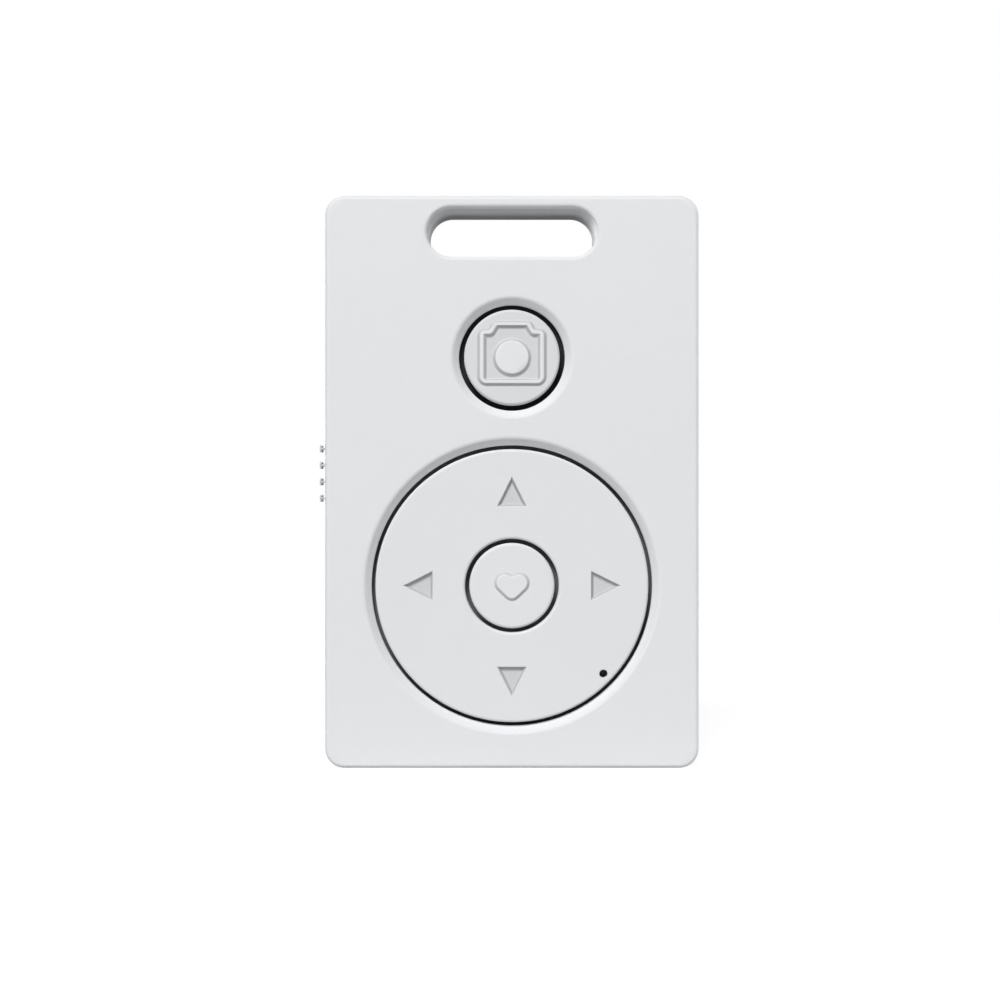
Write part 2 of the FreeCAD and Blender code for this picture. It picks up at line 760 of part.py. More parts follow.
def make_board():
    body = new_body("circuit_board")
    outline = front_sketch(body, BOARD_BACK)
    rectangle(outline, f"-{BOARD_HALF}", BOARD_HALF, BOARD_LOW, BOARD_HIGH)
    add(body, outline, "board_thickness")
    cut_corners(body, BOARD_BACK, "board_thickness", "board_gap / 2")
    holes = front_sketch(body, BOARD_BACK)
    circles_both_sides(holes, [BOARD_SCREW], "screw_diameter / 2 + screw_fit")
    cut(body, holes, "board_thickness", forwards=True)


def make_film():
    """The film on the board that locates the domes, with a window for each."""
    body = new_body("dome_film")
    outline = front_sketch(body, BOARD_FRONT)
    rectangle(outline, f"film_inset - {BOARD_HALF}", f"{BOARD_HALF} - film_inset",
              f"{BOARD_LOW} + film_inset", f"{BOARD_HIGH} - film_inset")
    add(body, outline, "film_thickness")
    cut_corners(body, BOARD_FRONT, "film_thickness", "board_gap / 2 + film_inset")
    windows = front_sketch(body, BOARD_FRONT)
    for x, z in DOMES.values():
        circle(windows, x, z, "dome_diameter / 2 + film_gap")
    circles_both_sides(windows, [BOARD_SCREW], "board_boss / 2 + film_gap")
    circle(windows, LIGHT_RIGHT, f"{RING_RISE} + {LIGHT_ABOVE}", "light_length / 2 + film_gap")
    cut(body, windows, "film_thickness", forwards=True)


def make_light():
    x, z = LIGHT_RIGHT, f"({RING_RISE} + {LIGHT_ABOVE})"
    box_piece("indicator_led", f"{x} - light_length / 2", f"{x} + light_length / 2",
              BOARD_FRONT, f"{BOARD_FRONT} + light_height",
              f"{z} - light_width / 2", f"{z} + light_width / 2")


def make_radio():
    """The radio chip and its crystal, side by side on the back of the board."""
    half = "chip_size / 2"
    box_piece("bluetooth_chip", f"-{half}", half, f"{BOARD_BACK} - chip_height", BOARD_BACK,
              f"{RADIO_RISE} - {half}", f"{RADIO_RISE} + {half}")
    left = "(chip_size / 2 + small_part_length)"
    box_piece("crystal", left, f"{left} + crystal_width", f"{BOARD_BACK} - crystal_height", BOARD_BACK,
              f"{RADIO_RISE} - crystal_length / 2", f"{RADIO_RISE} + crystal_length / 2")


def make_small_parts(name, side, count, height):
    """A column of small parts beside the radio chip."""
    body = new_body(name)
    outline = front_sketch(body, f"{BOARD_BACK} - {height}")
    for i in range(count):
        centre = f"({side} * small_part_offset)"
        z = f"({RADIO_RISE} + small_part_width * {2 * i + 1 - count})"
        rectangle(outline, f"{centre} - small_part_length / 2", f"{centre} + small_part_length / 2",
                  f"{z} - small_part_width / 2", f"{z} + small_part_width / 2")
    add(body, outline, height)


def make_antenna():
    """A meander of copper along the top of the board's back."""
    body = new_body("antenna_trace")
    outline = front_sketch(body, f"{BOARD_BACK} - antenna_thickness")
    turns = 6
    pitch = f"((antenna_length - antenna_strip) / {turns})"
    low, high = f"({BOARD_HIGH} - film_inset - antenna_band)", f"({BOARD_HIGH} - film_inset)"
    start = "(-antenna_length / 2)"
    upper = []
    lower = []
    for i in range(turns):
        left = f"({start} + {pitch} * {i})"
        right = f"({start} + {pitch} * {i + 1})"
        wide = [left, f"{right} + antenna_strip"]
        narrow = [f"{left} + antenna_strip", right]
        if i % 2 == 0:
            upper += [(x, high) for x in wide]
            lower += [(x, f"{high} - antenna_strip") for x in narrow]
        else:
            upper += [(x, f"{low} + antenna_strip") for x in narrow]
            lower += [(x, low) for x in wide]
    loop(outline, [(start, low)] + upper + lower[::-1] + [(f"{start} + antenna_strip", low)])
    add(body, outline, "antenna_thickness")


def make_switch():
    """A surface-mount slide switch: sheet shell, moulded base, terminals and sliding lever."""
    low, high = f"({SWITCH_RISE} - switch_length / 2)", f"({SWITCH_RISE} + switch_length / 2)"
    shell = new_body("switch_shell")
    outline = front_sketch(shell, f"{BOARD_BACK} - switch_height")
    rectangle(outline, f"-{SWITCH_OUT}", f"-{SWITCH_IN}", low, high)
    add(shell, outline, "switch_height")
    hollow = front_sketch(shell, BOARD_BACK)
    rectangle(hollow, f"switch_sheet - {SWITCH_OUT}", f"-{SWITCH_IN} - switch_sheet",
              f"{low} + switch_sheet", f"{high} - switch_sheet")
    cut(shell, hollow, "switch_height - switch_sheet")
    slot = front_sketch(shell, f"{LEVER_HEIGHT} + lever_thickness / 2 + lever_fit")
    run = "(lever_width / 2 + slider_travel / 2 + lever_fit * 2)"
    rectangle(slot, f"-{SWITCH_OUT} - switch_sheet", f"switch_sheet * 1.5 - {SWITCH_OUT}",
              f"{SWITCH_RISE} - {run}", f"{SWITCH_RISE} + {run}")
    cut(shell, slot, "lever_thickness + lever_fit * 2")

    box_piece("switch_base", f"switch_sheet - {SWITCH_OUT}", f"-{SWITCH_IN} - switch_sheet",
              f"{BOARD_BACK} - switch_base_height", BOARD_BACK,
              f"{low} + switch_sheet", f"{high} - switch_sheet")

    terminals = new_body("switch_terminals")
    legs = front_sketch(terminals, f"{BOARD_BACK} - terminal_thickness")
    for step in (-1, 0, 1):
        z = f"({SWITCH_RISE} + {step} * switch_length / 3)"
        rectangle(legs, f"-{SWITCH_IN}", f"terminal_length - {SWITCH_IN}",
                  f"{z} - terminal_width / 2", f"{z} + terminal_width / 2")
    add(terminals, legs, "terminal_thickness")

    lever = new_body("switch_lever")
    arm = front_sketch(lever, f"{LEVER_HEIGHT} - lever_thickness / 2")
    rectangle(arm, f"lever_fit * 2 - {FLANGE_OUT}", f"switch_sheet * 2 - {SWITCH_OUT}",
              "slider_rise - lever_width / 2", "slider_rise + lever_width / 2")
    add(lever, arm, "lever_thickness")
    block = front_sketch(lever, f"{LEVER_HEIGHT} - lever_thickness / 2")
    rectangle(block, f"switch_sheet + lever_fit * 2 - {SWITCH_OUT}",
              f"-{SWITCH_IN} - switch_sheet - lever_fit * 2",
              "slider_rise - lever_block / 2", "slider_rise + lever_block / 2")
    add(lever, block, "lever_thickness")


def make_slider():
    """The knob: ridged plate outside, neck through the window, flange inside and a lever fork."""
    body = new_body("power_slider")
    plate_in = f"({HALF_WIDTH} + slider_gap)"
    plate_out = f"({HALF_WIDTH} + slider_gap + slider_plate)"
    ridge_root = f"({plate_out} + ridge_rise)"
    plate = front_sketch(body, f"{LEVER_HEIGHT} - slider_depth / 2")
    outline = [
        (f"-{plate_in}", "slider_rise + slider_length / 2"),
        (f"-{plate_out}", "slider_rise + slider_length / 2"),
    ]
    for i in (1.5, 0.5, -0.5, -1.5):
        centre = f"(slider_rise + ridge_pitch * {i})"
        outline += [
            (f"-{plate_out}", f"{centre} + ridge_radius"),
            (f"-{ridge_root}", f"{centre} + ridge_radius"),
            (f"-{ridge_root}", f"{centre} - ridge_radius", f"-{ridge_root}", centre, "ridge_radius", 1),
            (f"-{plate_out}", f"{centre} - ridge_radius"),
        ]
    outline += [
        (f"-{plate_out}", "slider_rise - slider_length / 2"),
        (f"-{plate_in}", "slider_rise - slider_length / 2"),
    ]
    loop(plate, outline)
    add(body, plate, "slider_depth")
    neck = front_sketch(body, f"{LEVER_HEIGHT} - slider_neck_depth / 2")
    rectangle(neck, f"-{plate_in}", f"-{FLANGE_OUT}",
              "slider_rise - slider_neck / 2", "slider_rise + slider_neck / 2")
    add(body, neck, "slider_neck_depth")
    flange = front_sketch(body, f"{LEVER_HEIGHT} - slider_depth / 2")
    reach = "(slider_neck / 2 + slider_travel + slider_flange_lap)"
    rectangle(flange, f"-{FLANGE_OUT}", f"-{FLANGE_IN}",
              f"slider_rise - {reach}", f"slider_rise + {reach}")
    add(body, flange, "slider_depth")
    fork = front_sketch(body, f"{LEVER_HEIGHT} + lever_thickness / 2 + lever_fit")
    rectangle(fork, f"lever_fit - {FLANGE_OUT}", f"slider_gap - {FLANGE_IN}",
              "slider_rise - lever_width / 2 - lever_fit", "slider_rise + lever_width / 2 + lever_fit")
    cut(body, fork, "lever_thickness + lever_fit * 2")


def make_cell():
    """The coin cell: can, cap, gasket and filling, with the can towards the door."""
    radius = "(cell_diameter / 2)"
    inner = "(cell_diameter / 2 - cell_sheet)"
    cap = "(cell_diameter / 2 - cell_sheet - gasket_width)"
    lip = f"({CELL_FRONT} - cell_sheet)"
    rings = {
        "cell_can": [
            ("0", CELL_BACK),
            (radius, CELL_BACK),
            (radius, lip),
            (inner, lip),
            (inner, f"{CELL_BACK} + cell_sheet"),
            ("0", f"{CELL_BACK} + cell_sheet"),
        ],
        "cell_gasket": [
            (f"{cap} + cell_fit", f"{CELL_BACK} + cell_sheet"),
            (f"{inner} - cell_fit", f"{CELL_BACK} + cell_sheet"),
            (f"{inner} - cell_fit", lip),
            (f"{cap} + cell_fit", lip),
        ],
        "cell_cap": [
            ("0", lip),
            (f"{cap} - cell_sheet * 2", lip),
            (f"{cap} - cell_sheet", f"{lip} - cell_sheet"),
            (f"{cap} - cell_sheet", f"{CELL_BACK} + cell_sheet * 2"),
            (cap, f"{CELL_BACK} + cell_sheet * 2"),
            (cap, f"{lip} - cell_sheet"),
            (f"{cap} - cell_sheet", CELL_FRONT),
            ("0", CELL_FRONT),
        ],
        "cell_filling": [
            ("0", f"{CELL_BACK} + cell_sheet"),
            (f"{cap} - cell_sheet * 2", f"{CELL_BACK} + cell_sheet"),
            (f"{cap} - cell_sheet * 2", lip),
            ("0", lip),
        ],
    }
    for name, points in rings.items():
        body = new_body(name)
        bind(body, Placement__Base__z="cell_rise")
        turn(body, points)


def make_cell_contacts():
    """Two sheet springs soldered to the board: one leaf on the cell's cap and one on its rim."""
    base = f"({BOARD_BACK} - contact_sheet)"
    negative = new_body("battery_negative_contact")
    profile = turned_sketch(negative, "cell_rise - contact_width / 2")
    loop(profile, profile_points([
        ("contact_span / 2", base),
        ("contact_span / 2", BOARD_BACK),
        ("0", BOARD_BACK),
        ("-contact_span / 2", f"{CELL_FRONT} + contact_sheet"),
        ("-contact_span", f"{CELL_FRONT} + contact_sheet"),
        ("-contact_span", CELL_FRONT),
        ("-contact_span / 2", CELL_FRONT),
        ("0", base),
    ]))
    add(negative, profile, "contact_width")

    positive = new_body("battery_positive_contact")
    rim = "(cell_diameter / 2 + cell_fit)"
    profile = turned_sketch(positive, "cell_rise - contact_width / 2")
    loop(profile, profile_points([
        (rim, f"{CELL_BACK} + cell_height / 2"),
        (f"{rim} + contact_sheet", f"{CELL_BACK} + cell_height / 2"),
        (f"{rim} + contact_sheet", base),
        (f"{rim} + contact_span / 2", base),
        (f"{rim} + contact_span / 2", BOARD_BACK),
        (rim, BOARD_BACK),
    ]))
    add(positive, profile, "contact_width")


def make_door():
    """The door: a disc with a coin slot, a wall round the cell and three bayonet lugs."""
    body = new_body("battery_door")
    bind(body, Placement__Base__z="cell_rise")
    lug_back = f"({BACK_INSIDE} + door_gap)"
    lug_front = f"({lug_back} + lug_thickness)"
    turn(body, [
        ("0", f"-{FACE}"),
        (DOOR_RIM, f"-{FACE}"),
        (DOOR_RIM, f"-{FACE} + door_step - door_gap"),
        (DOOR_HUB, f"-{FACE} + door_step - door_gap"),
        (DOOR_HUB, lug_front),
        (DOOR_WALL_IN, lug_front),
        (DOOR_WALL_IN, BACK_INSIDE),
        ("0", BACK_INSIDE),
    ])
    lug = front_sketch(body, lug_back)
    rectangle(lug, "-lug_width / 2", "lug_width / 2",
              f"{DOOR_HUB} - door_wall / 2", f"{DOOR_HUB} + lug_length")
    first = add(body, lug, "lug_thickness")
    around = body.newObject("PartDesign::PolarPattern", "Lugs")
    around.Originals = [first]
    around.Axis = (lug, ["N_Axis"])
    around.Angle = 360
    around.Occurrences = 3
    body.Tip = around
    slot = front_sketch(body, f"-{FACE}")
    rectangle(slot, "-coin_slot_length / 2", "coin_slot_length / 2",
              "-coin_slot_width / 2", "coin_slot_width / 2")
    cut(body, slot, "coin_slot_depth", forwards=True)


make_front_cover()
make_rear_cover()
make_screws("case_screws", [SCREW_LOW, SCREW_HIGH], f"(screw_sink - {FACE})", "screw_reach")
make_shutter_button()
make_nav_ring()
make_heart_button()
make_boot("shutter_key_rubber", SHUTTER_RISE, "shutter_diameter / 2", "shutter_gap")
make_nav_pad()
make_heart_boot()
for dome_name, (dome_x, dome_z) in DOMES.items():
    make_dome(dome_name, dome_x, dome_z)
make_contacts()
make_board()
make_film()
make_screws("board_screws", [BOARD_SCREW],
            f"({BOARD_BACK} - screw_head_height)", f"({BOARD_FRONT} + board_screw_reach)")
make_light()
make_radio()
make_small_parts("capacitors", -1, 6, "capacitor_height")
make_small_parts("resistors", 1, 5, "resistor_height")
make_antenna()
make_switch()
make_slider()
make_cell()
make_cell_contacts()
make_door()

doc.recompute()
for item in doc.Objects:
    for state in ("Invalid", "Error"):
        if state in item.State:
            raise RuntimeError(f"{item.Name} is {state}: {item.State}")
for piece in pieces:
    if piece.Shape.isNull() or not piece.Shape.isValid() or not piece.Shape.Solids:
        raise RuntimeError(f"{piece.Label} has no sound solid")

os.makedirs("parts", exist_ok=True)
for piece in pieces:
    piece.Shape.exportStep(os.path.join("parts", piece.Label + ".step"))
    print(f"{piece.Label}: {len(piece.Shape.Solids)} solids, {piece.Shape.Volume:.2f} mm3")
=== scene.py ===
import math

import bmesh
import bpy
from bmesh.types import BMEdge, BMFace, BMVert
from mathutils import Matrix, Vector


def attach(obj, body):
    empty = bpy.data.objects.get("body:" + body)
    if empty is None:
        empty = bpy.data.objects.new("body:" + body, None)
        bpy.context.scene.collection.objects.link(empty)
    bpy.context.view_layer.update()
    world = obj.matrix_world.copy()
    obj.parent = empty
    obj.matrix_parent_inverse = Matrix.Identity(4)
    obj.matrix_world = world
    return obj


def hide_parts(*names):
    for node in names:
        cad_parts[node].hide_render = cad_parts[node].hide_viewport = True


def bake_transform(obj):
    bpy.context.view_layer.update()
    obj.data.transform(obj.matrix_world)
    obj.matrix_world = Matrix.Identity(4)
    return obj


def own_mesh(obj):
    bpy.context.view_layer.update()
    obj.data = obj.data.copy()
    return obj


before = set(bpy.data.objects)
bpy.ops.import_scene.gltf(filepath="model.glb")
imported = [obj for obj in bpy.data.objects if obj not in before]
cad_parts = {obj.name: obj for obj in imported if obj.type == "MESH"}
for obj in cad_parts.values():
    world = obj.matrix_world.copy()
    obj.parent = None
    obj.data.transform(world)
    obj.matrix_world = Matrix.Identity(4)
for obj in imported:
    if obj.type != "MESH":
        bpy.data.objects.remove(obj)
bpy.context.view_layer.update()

# The front half of the case is one moulding in matt light-grey ABS, 1.2 mm thick. It has a dished
# well for each key and half of the strap slot, and four screws from the back hold it to the rear
# half. Its skin has the fine even grain of a spark-eroded mould. All sizes here are millimetres.
WIDTH, HEIGHT, HALF_DEPTH = 39.2, 60.0, 4.0
CORNER, EDGE, WALL, SEAM = 2.05, 0.45, 1.2, 0.07
FRONT, FRONT_INSIDE = -HALF_DEPTH, WALL - HALF_DEPTH
CAVITY_TOP, CAVITY_CORNER = 52.465, 0.6
SLOT_RISE, SLOT_REACH, SLOT_RADIUS, SLOT_DRAFT = 56.18, 6.335, 2.515, 0.06
SLOT_LIP, SLOT_RIM = 0.4, 0.03
SHUTTER_RISE, SHUTTER_WELL = 43.04, 5.56
RING_RISE, RING_WELL = 19.12, 14.74
DISH_SLOPE, DISH_DEPTH, DISH_ROUND, DISH_RIM, WELL_ROUND = 0.74, 0.67, 0.2, 0.1, 0.08
WINDOW_LOW, WINDOW_HIGH, WINDOW_FRONT = 28.52, 35.32, -1.25
SCREWS_LOW, SCREWS_HIGH = (16.7, 2.9), (14.225, SLOT_RISE)
SCREW_POST, PILOT, PILOT_END = 1.65, 0.82, -1.82
BOARD_SCREWS, BOARD_POST, BOARD_FRONT, BOARD_PILOT_END = (13.5, 47.365), 1.7, -1.5, -2.72
WELL_STEPS, HOLE_STEPS = 144, 32
# A RIM is the flat run beyond a rounded edge, and NEAR is how close counts as touching.
NEAR = 1e-4


def of_kind(items, kind):
    return [item for item in items if isinstance(item, kind)]


def rounded(bm, geom, size, segments, affect="EDGES"):
    """Rounds edges, or the corners of a wire, from this distance on each side of them."""
    bmesh.ops.bevel(bm, geom=geom, offset=size, offset_type="OFFSET", segments=segments,
                    profile=0.5, affect=affect, material=-1)


def line(bm, points, rounds=(), closed=False, segments=6):
    """Edges through the points; rounds gives (corner, distance) for each rounded corner."""
    before = set(bm.edges)
    verts = [bm.verts.new(point) for point in points]
    for start, end in zip(verts, verts[1:] + verts[:1] if closed else verts[1:]):
        bm.edges.new((start, end))
    for corner, distance in rounds:
        rounded(bm, [verts[corner]], distance, segments, "VERTICES")
    return [edge for edge in bm.edges if edge not in before]


def ends_of(edges):
    return list(dict.fromkeys(vert for edge in edges for vert in edge.verts))


def turned(bm, x, z, profile, rounds=(), steps=128):
    """A round wall about the line along Y at (x, z), from a profile of (radius, y)."""
    edges = line(bm, [(x + radius, y, z) for radius, y in profile], rounds)
    bmesh.ops.spin(bm, geom=ends_of(edges) + edges, cent=(x, 0, z), axis=(0, 1, 0),
                   angle=math.tau, steps=steps, use_merge=True)


def wall_from(bm, edges, depth):
    """A straight wall that runs along Y from the edges."""
    run = bmesh.ops.extrude_edge_only(bm, edges=edges)["geom"]
    bmesh.ops.translate(bm, vec=(0, depth, 0), verts=of_kind(run, BMVert))


def at_depth(item, y):
    return all(abs(vert.co.y - y) < NEAR for vert in item.verts)


def close_flat(bm, *levels):
    """Fills between all the open outlines that lie in each of the planes at these y."""
    for y in levels:
        rims = [edge for edge in bm.edges if len(edge.link_faces) < 2 and at_depth(edge, y)]
        bmesh.ops.triangle_fill(bm, use_beauty=True, use_dissolve=False, edges=rims)


def tint_new(bm, plain):
    """Puts every face that isn't among the plain ones on the piece's second material, the one with
    painted shade.
    """
    for face in bm.faces:
        if face not in plain:
            face.material_index = 1


def slot_wall(bm, profile, rounds):
    """The strap slot's wall, from a profile of (distance from its middle line, y)."""
    edges = line(bm, [(SLOT_REACH, y, SLOT_RISE + out) for out, y in profile], rounds)
    for end in (1, -1):
        spun = bmesh.ops.spin(bm, geom=ends_of(edges) + edges, axis=(0, 1, 0), angle=math.pi,
                              cent=(end * SLOT_REACH, 0, SLOT_RISE), steps=48)
        last = of_kind(spun["geom_last"], BMEdge)
        run = bmesh.ops.extrude_edge_only(bm, edges=last)["geom"]
        bmesh.ops.translate(bm, vec=(-2 * end * SLOT_REACH, 0, 0), verts=of_kind(run, BMVert))
        edges = [edge for edge in of_kind(run, BMEdge)
                 if all(abs(vert.co.x + end * SLOT_REACH) < NEAR for vert in edge.verts)]
    bmesh.ops.remove_doubles(bm, verts=bm.verts, dist=NEAR)


def case_half(side):
    """The walls of one half of the case, open at its flat levels; side is -1 for the front."""
    bm = bmesh.new()
    bmesh.ops.create_cube(bm, size=1)
    depth = HALF_DEPTH - SEAM
    bmesh.ops.scale(bm, vec=(WIDTH, depth, HEIGHT), verts=bm.verts)
    bmesh.ops.translate(bm, vec=(0, side * (SEAM + depth / 2), HEIGHT / 2), verts=bm.verts)
    corners = [edge for edge in bm.edges if not at_depth(edge, edge.verts[0].co.y)]
    rounded(bm, corners, CORNER, 14)
    rounded(bm, [edge for edge in bm.edges if at_depth(edge, side * HALF_DEPTH)], EDGE, 6)
    bmesh.ops.delete(bm, context="FACES", geom=[
        face for face in bm.faces if at_depth(face, face.verts[0].co.y)])
    rim = [edge for edge in bm.edges if at_depth(edge, side * SEAM)]
    seam = of_kind(bmesh.ops.extrude_edge_only(bm, edges=rim)["geom"], BMVert)
    bmesh.ops.translate(bm, vec=(0, -side * SEAM, 0), verts=seam)
    bmesh.ops.scale(bm, vec=(1 - 2 * SEAM / WIDTH, 1, 1 - 2 * SEAM / HEIGHT), verts=seam,
                    space=Matrix.Translation((0, 0, -HEIGHT / 2)))
    half, level = WIDTH / 2 - WALL, side * (HALF_DEPTH - WALL)
    hollow = line(bm, [(-half, level, WALL), (half, level, WALL), (half, level, CAVITY_TOP),
                       (-half, level, CAVITY_TOP)], [(i, CAVITY_CORNER) for i in range(4)], True)
    wall_from(bm, hollow, -level)
    plain = set(bm.faces)
    mouth = SLOT_RADIUS - side * SLOT_DRAFT
    slot_wall(bm, [(mouth + SLOT_LIP + SLOT_RIM, side * HALF_DEPTH), (mouth, side * HALF_DEPTH),
                   (SLOT_RADIUS, side * SEAM), (SLOT_RADIUS + SEAM, 0)], [(1, SLOT_LIP)])
    tint_new(bm, plain)
    return bm


def cut_window(bm, depth):
    """Opens the slide switch's window in the left wall, from the parting plane to this depth."""
    outside, inside = -WIDTH / 2, WALL - WIDTH / 2
    # Only the flat panels are larger than one square millimetre; the corners are narrow strips.
    wall = [face for face in bm.faces if face.calc_area() > 1 and all(
        abs(vert.co.x - outside) < SEAM + NEAR or abs(vert.co.x - inside) < NEAR
        for vert in face.verts)]
    for point, normal, top in (((0, 0, WINDOW_LOW), (0, 0, 1), HEIGHT),
                               ((0, 0, WINDOW_HIGH), (0, 0, 1), WINDOW_HIGH),
                               ((0, depth, 0), (0, 1, 0), WINDOW_HIGH)):
        parts = dict.fromkeys(item for face in wall for item in (face, *face.edges, *face.verts))
        cut = bmesh.ops.bisect_plane(bm, geom=list(parts), dist=1e-5, plane_co=point,
                                     plane_no=normal)
        wall = [face for face in of_kind(cut["geom"], BMFace)
                if WINDOW_LOW < face.calc_center_median().z < top]
    opening = [face for face in wall if 0 < face.calc_center_median().y / depth < 1]
    bmesh.ops.delete(bm, geom=opening, context="FACES")
    around = [vert for vert in bm.verts if vert.co.x < inside + NEAR
              and -NEAR < vert.co.y / depth < 1 + NEAR
              and WINDOW_LOW - NEAR < vert.co.z < WINDOW_HIGH + NEAR]
    for axis, level in ((2, WINDOW_LOW), (2, WINDOW_HIGH), (1, depth)):
        bmesh.ops.contextual_create(
            bm, geom=[vert for vert in around if abs(vert.co[axis] - level) < NEAR])


def shader_node(tree, kind, inputs, **settings):
    """A shader node; each of its inputs takes a value or another node's output."""
    made = tree.nodes.new("ShaderNode" + kind)
    for label, value in settings.items():
        setattr(made, label, value)
    for label, source in inputs.items():
        if isinstance(source, bpy.types.NodeSocket):
            tree.links.new(source, made.inputs[label])
        else:
            made.inputs[label].default_value = source
    return made.outputs


def range_node(tree, source, start, end, low=0.0, high=1.0):
    """Stretches start to end over low to high."""
    return shader_node(tree, "MapRange", {
        "Value": source, "From Min": start, "From Max": end, "To Min": low, "To Max": high,
    })["Result"]


def math_node(tree, operation, first, second):
    return shader_node(tree, "Math", {0: first, 1: second}, operation=operation)[0]


def mix_node(tree, factor, first, second):
    return shader_node(tree, "Mix", {"Factor": factor, "A": first, "B": second},
                       data_type="RGBA")["Result"]


def skin_group(name, grain, patches, pits=0.0):
    """A group of shader nodes that gives a skin its fine relief and a slow drift of its colour;
    grain and patches are each (usual scale, detail, roughness)."""
    group = bpy.data.node_groups.new(name, "ShaderNodeTree")
    for label, noise in (("Grain", grain), ("Patches", patches)):
        socket = group.interface.new_socket(label, in_out="INPUT", socket_type="NodeSocketFloat")
        socket.default_value = noise[0]
    for label in ("Height", "Patch"):
        group.interface.new_socket(label, in_out="OUTPUT", socket_type="NodeSocketFloat")
    scales = group.nodes.new("NodeGroupInput").outputs
    results = group.nodes.new("NodeGroupOutput").inputs
    place = shader_node(group, "TexCoord", {})["Object"]
    height, drift = [shader_node(group, "TexNoise", {
        "Vector": place, "Scale": scales[label], "Detail": detail, "Roughness": roughness,
    })["Fac"] for label, (_, detail, roughness) in (("Grain", grain), ("Patches", patches))]
    if pits:
        cells = shader_node(group, "TexVoronoi", {"Vector": place, "Scale": scales["Grain"]})
        height = math_node(group, "ADD", height,
                           math_node(group, "MULTIPLY", cells["Distance"], pits))
    group.links.new(height, results["Height"])
    # A noise seldom leaves the range from 0.35 to 0.65.
    group.links.new(range_node(group, drift, 0.35, 0.65), results["Patch"])
    return group


def finish(name, skin, shades, gloss, relief, metallic=0.0, sheen=0.5, **scales):
    """A material on one of the skins; shades are the two colours that it drifts between, gloss
    the two roughnesses, and relief the depth of its grain in metres."""
    material = bpy.data.materials.new(name)
    material.use_nodes = True
    tree = material.node_tree
    shader = tree.nodes["Principled BSDF"].inputs
    worn = shader_node(tree, "Group", scales, node_tree=skin)
    bump = shader_node(tree, "Bump", {
        "Strength": 0.5, "Distance": relief, "Height": worn["Height"]})
    tree.links.new(mix_node(tree, worn["Patch"], *((*shade, 1) for shade in shades)),
                   shader["Base Color"])
    tree.links.new(range_node(tree, worn["Patch"], 0, 1, *gloss), shader["Roughness"])
    tree.links.new(bump["Normal"], shader["Normal"])
    shader["Metallic"].default_value = metallic
    shader["Specular IOR Level"].default_value = sheen
    return material


def shade_by_depth(material, *bands):
    """Paints shade into a material's colour by depth; a band is (start, end, colour reached at its
    end).
    """
    tree = material.node_tree
    colour = tree.nodes["Principled BSDF"].inputs["Base Color"]
    place = shader_node(tree, "TexCoord", {})["Object"]
    depth = shader_node(tree, "SeparateXYZ", {0: place})["Y"]
    for start, end, shade in bands:
        share = range_node(tree, depth, start / 1000, end / 1000)
        mixed = mix_node(tree, share, colour.links[0].from_socket, (*shade, 1))
        tree.links.new(mixed, colour)


def piece(name, bm, body, material, replaced=(), crease=35):
    """Closes up a mesh made in millimetres, turns it into a metre-sized object and puts it on its
    body if it has one."""
    bmesh.ops.remove_doubles(bm, verts=bm.verts, dist=5e-4)
    bmesh.ops.dissolve_degenerate(bm, dist=1e-5, edges=bm.edges)
    bmesh.ops.recalc_face_normals(bm, faces=bm.faces)
    for face in bm.faces:
        face.smooth = True
    for edge in bm.edges:
        edge.smooth = (len(edge.link_faces) == 2
                       and edge.calc_face_angle(0) < math.radians(crease))
    bmesh.ops.scale(bm, vec=(0.001, 0.001, 0.001), verts=bm.verts)
    mesh = bpy.data.meshes.new(name)
    bm.to_mesh(mesh)
    bm.free()
    for skin in material if isinstance(material, list) else [material]:
        mesh.materials.append(skin)
    made = bpy.data.objects.new(name, mesh)
    bpy.context.scene.collection.objects.link(made)
    even = made.modifiers.new("even_shading", "WEIGHTED_NORMAL")
    even.keep_sharp = True
    if body:
        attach(made, body)
    if replaced:
        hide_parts(*replaced)
    return made


moulded_skin = skin_group("moulded_skin", (4200.0, 3, 0.6), (70.0, 2, 0.5), pits=0.4)
CASE_SHADES = (0.775, 0.783, 0.799), (0.768, 0.776, 0.793)
case_grey = finish("case_grey", moulded_skin, CASE_SHADES, (0.55, 0.62), 1.2e-5, sheen=0.2)
# The strap slot's wall has its own material, darkened with depth as painted shade: darker from the
# front lip inwards, darkest over the rear half, and pale again at the back lip.
slot_painted_shade = finish("slot_painted_shade", moulded_skin, CASE_SHADES, (0.6, 0.68), 2e-5, sheen=0.2,
                   Grain=3000.0)
shade_by_depth(slot_painted_shade, (-3.6, -2.6, (0.62, 0.627, 0.639)), (-0.4, 1.8, (0.36, 0.364, 0.372)),
               (3.2, 3.7, (0.77, 0.778, 0.794)))

front = case_half(-1)
for rise, well in ((SHUTTER_RISE, SHUTTER_WELL), (RING_RISE, RING_WELL)):
    dish = well + DISH_SLOPE
    turned(front, 0, rise, [
        (dish + DISH_ROUND + DISH_RIM, FRONT), (dish, FRONT), (well, FRONT + DISH_DEPTH),
        (well, FRONT_INSIDE)], [(1, DISH_ROUND), (2, WELL_ROUND)], steps=WELL_STEPS)
pilot = [(PILOT, 0), (PILOT, PILOT_END), (0, PILOT_END)]
for side in (-1, 1):
    turned(front, side * SCREWS_LOW[0], SCREWS_LOW[1],
           [(SCREW_POST, FRONT_INSIDE), (SCREW_POST, 0)] + pilot, steps=HOLE_STEPS)
    turned(front, side * SCREWS_HIGH[0], SCREWS_HIGH[1], pilot, steps=HOLE_STEPS)
    turned(front, side * BOARD_SCREWS[0], BOARD_SCREWS[1], [
        (BOARD_POST, FRONT_INSIDE), (BOARD_POST, BOARD_FRONT), (PILOT, BOARD_FRONT),
        (PILOT, BOARD_PILOT_END), (0, BOARD_PILOT_END)], steps=HOLE_STEPS)
cut_window(front, WINDOW_FRONT)
close_flat(front, FRONT, FRONT_INSIDE, 0)
piece("case_front", front, "case", [case_grey, slot_painted_shade], ["front_cover"])

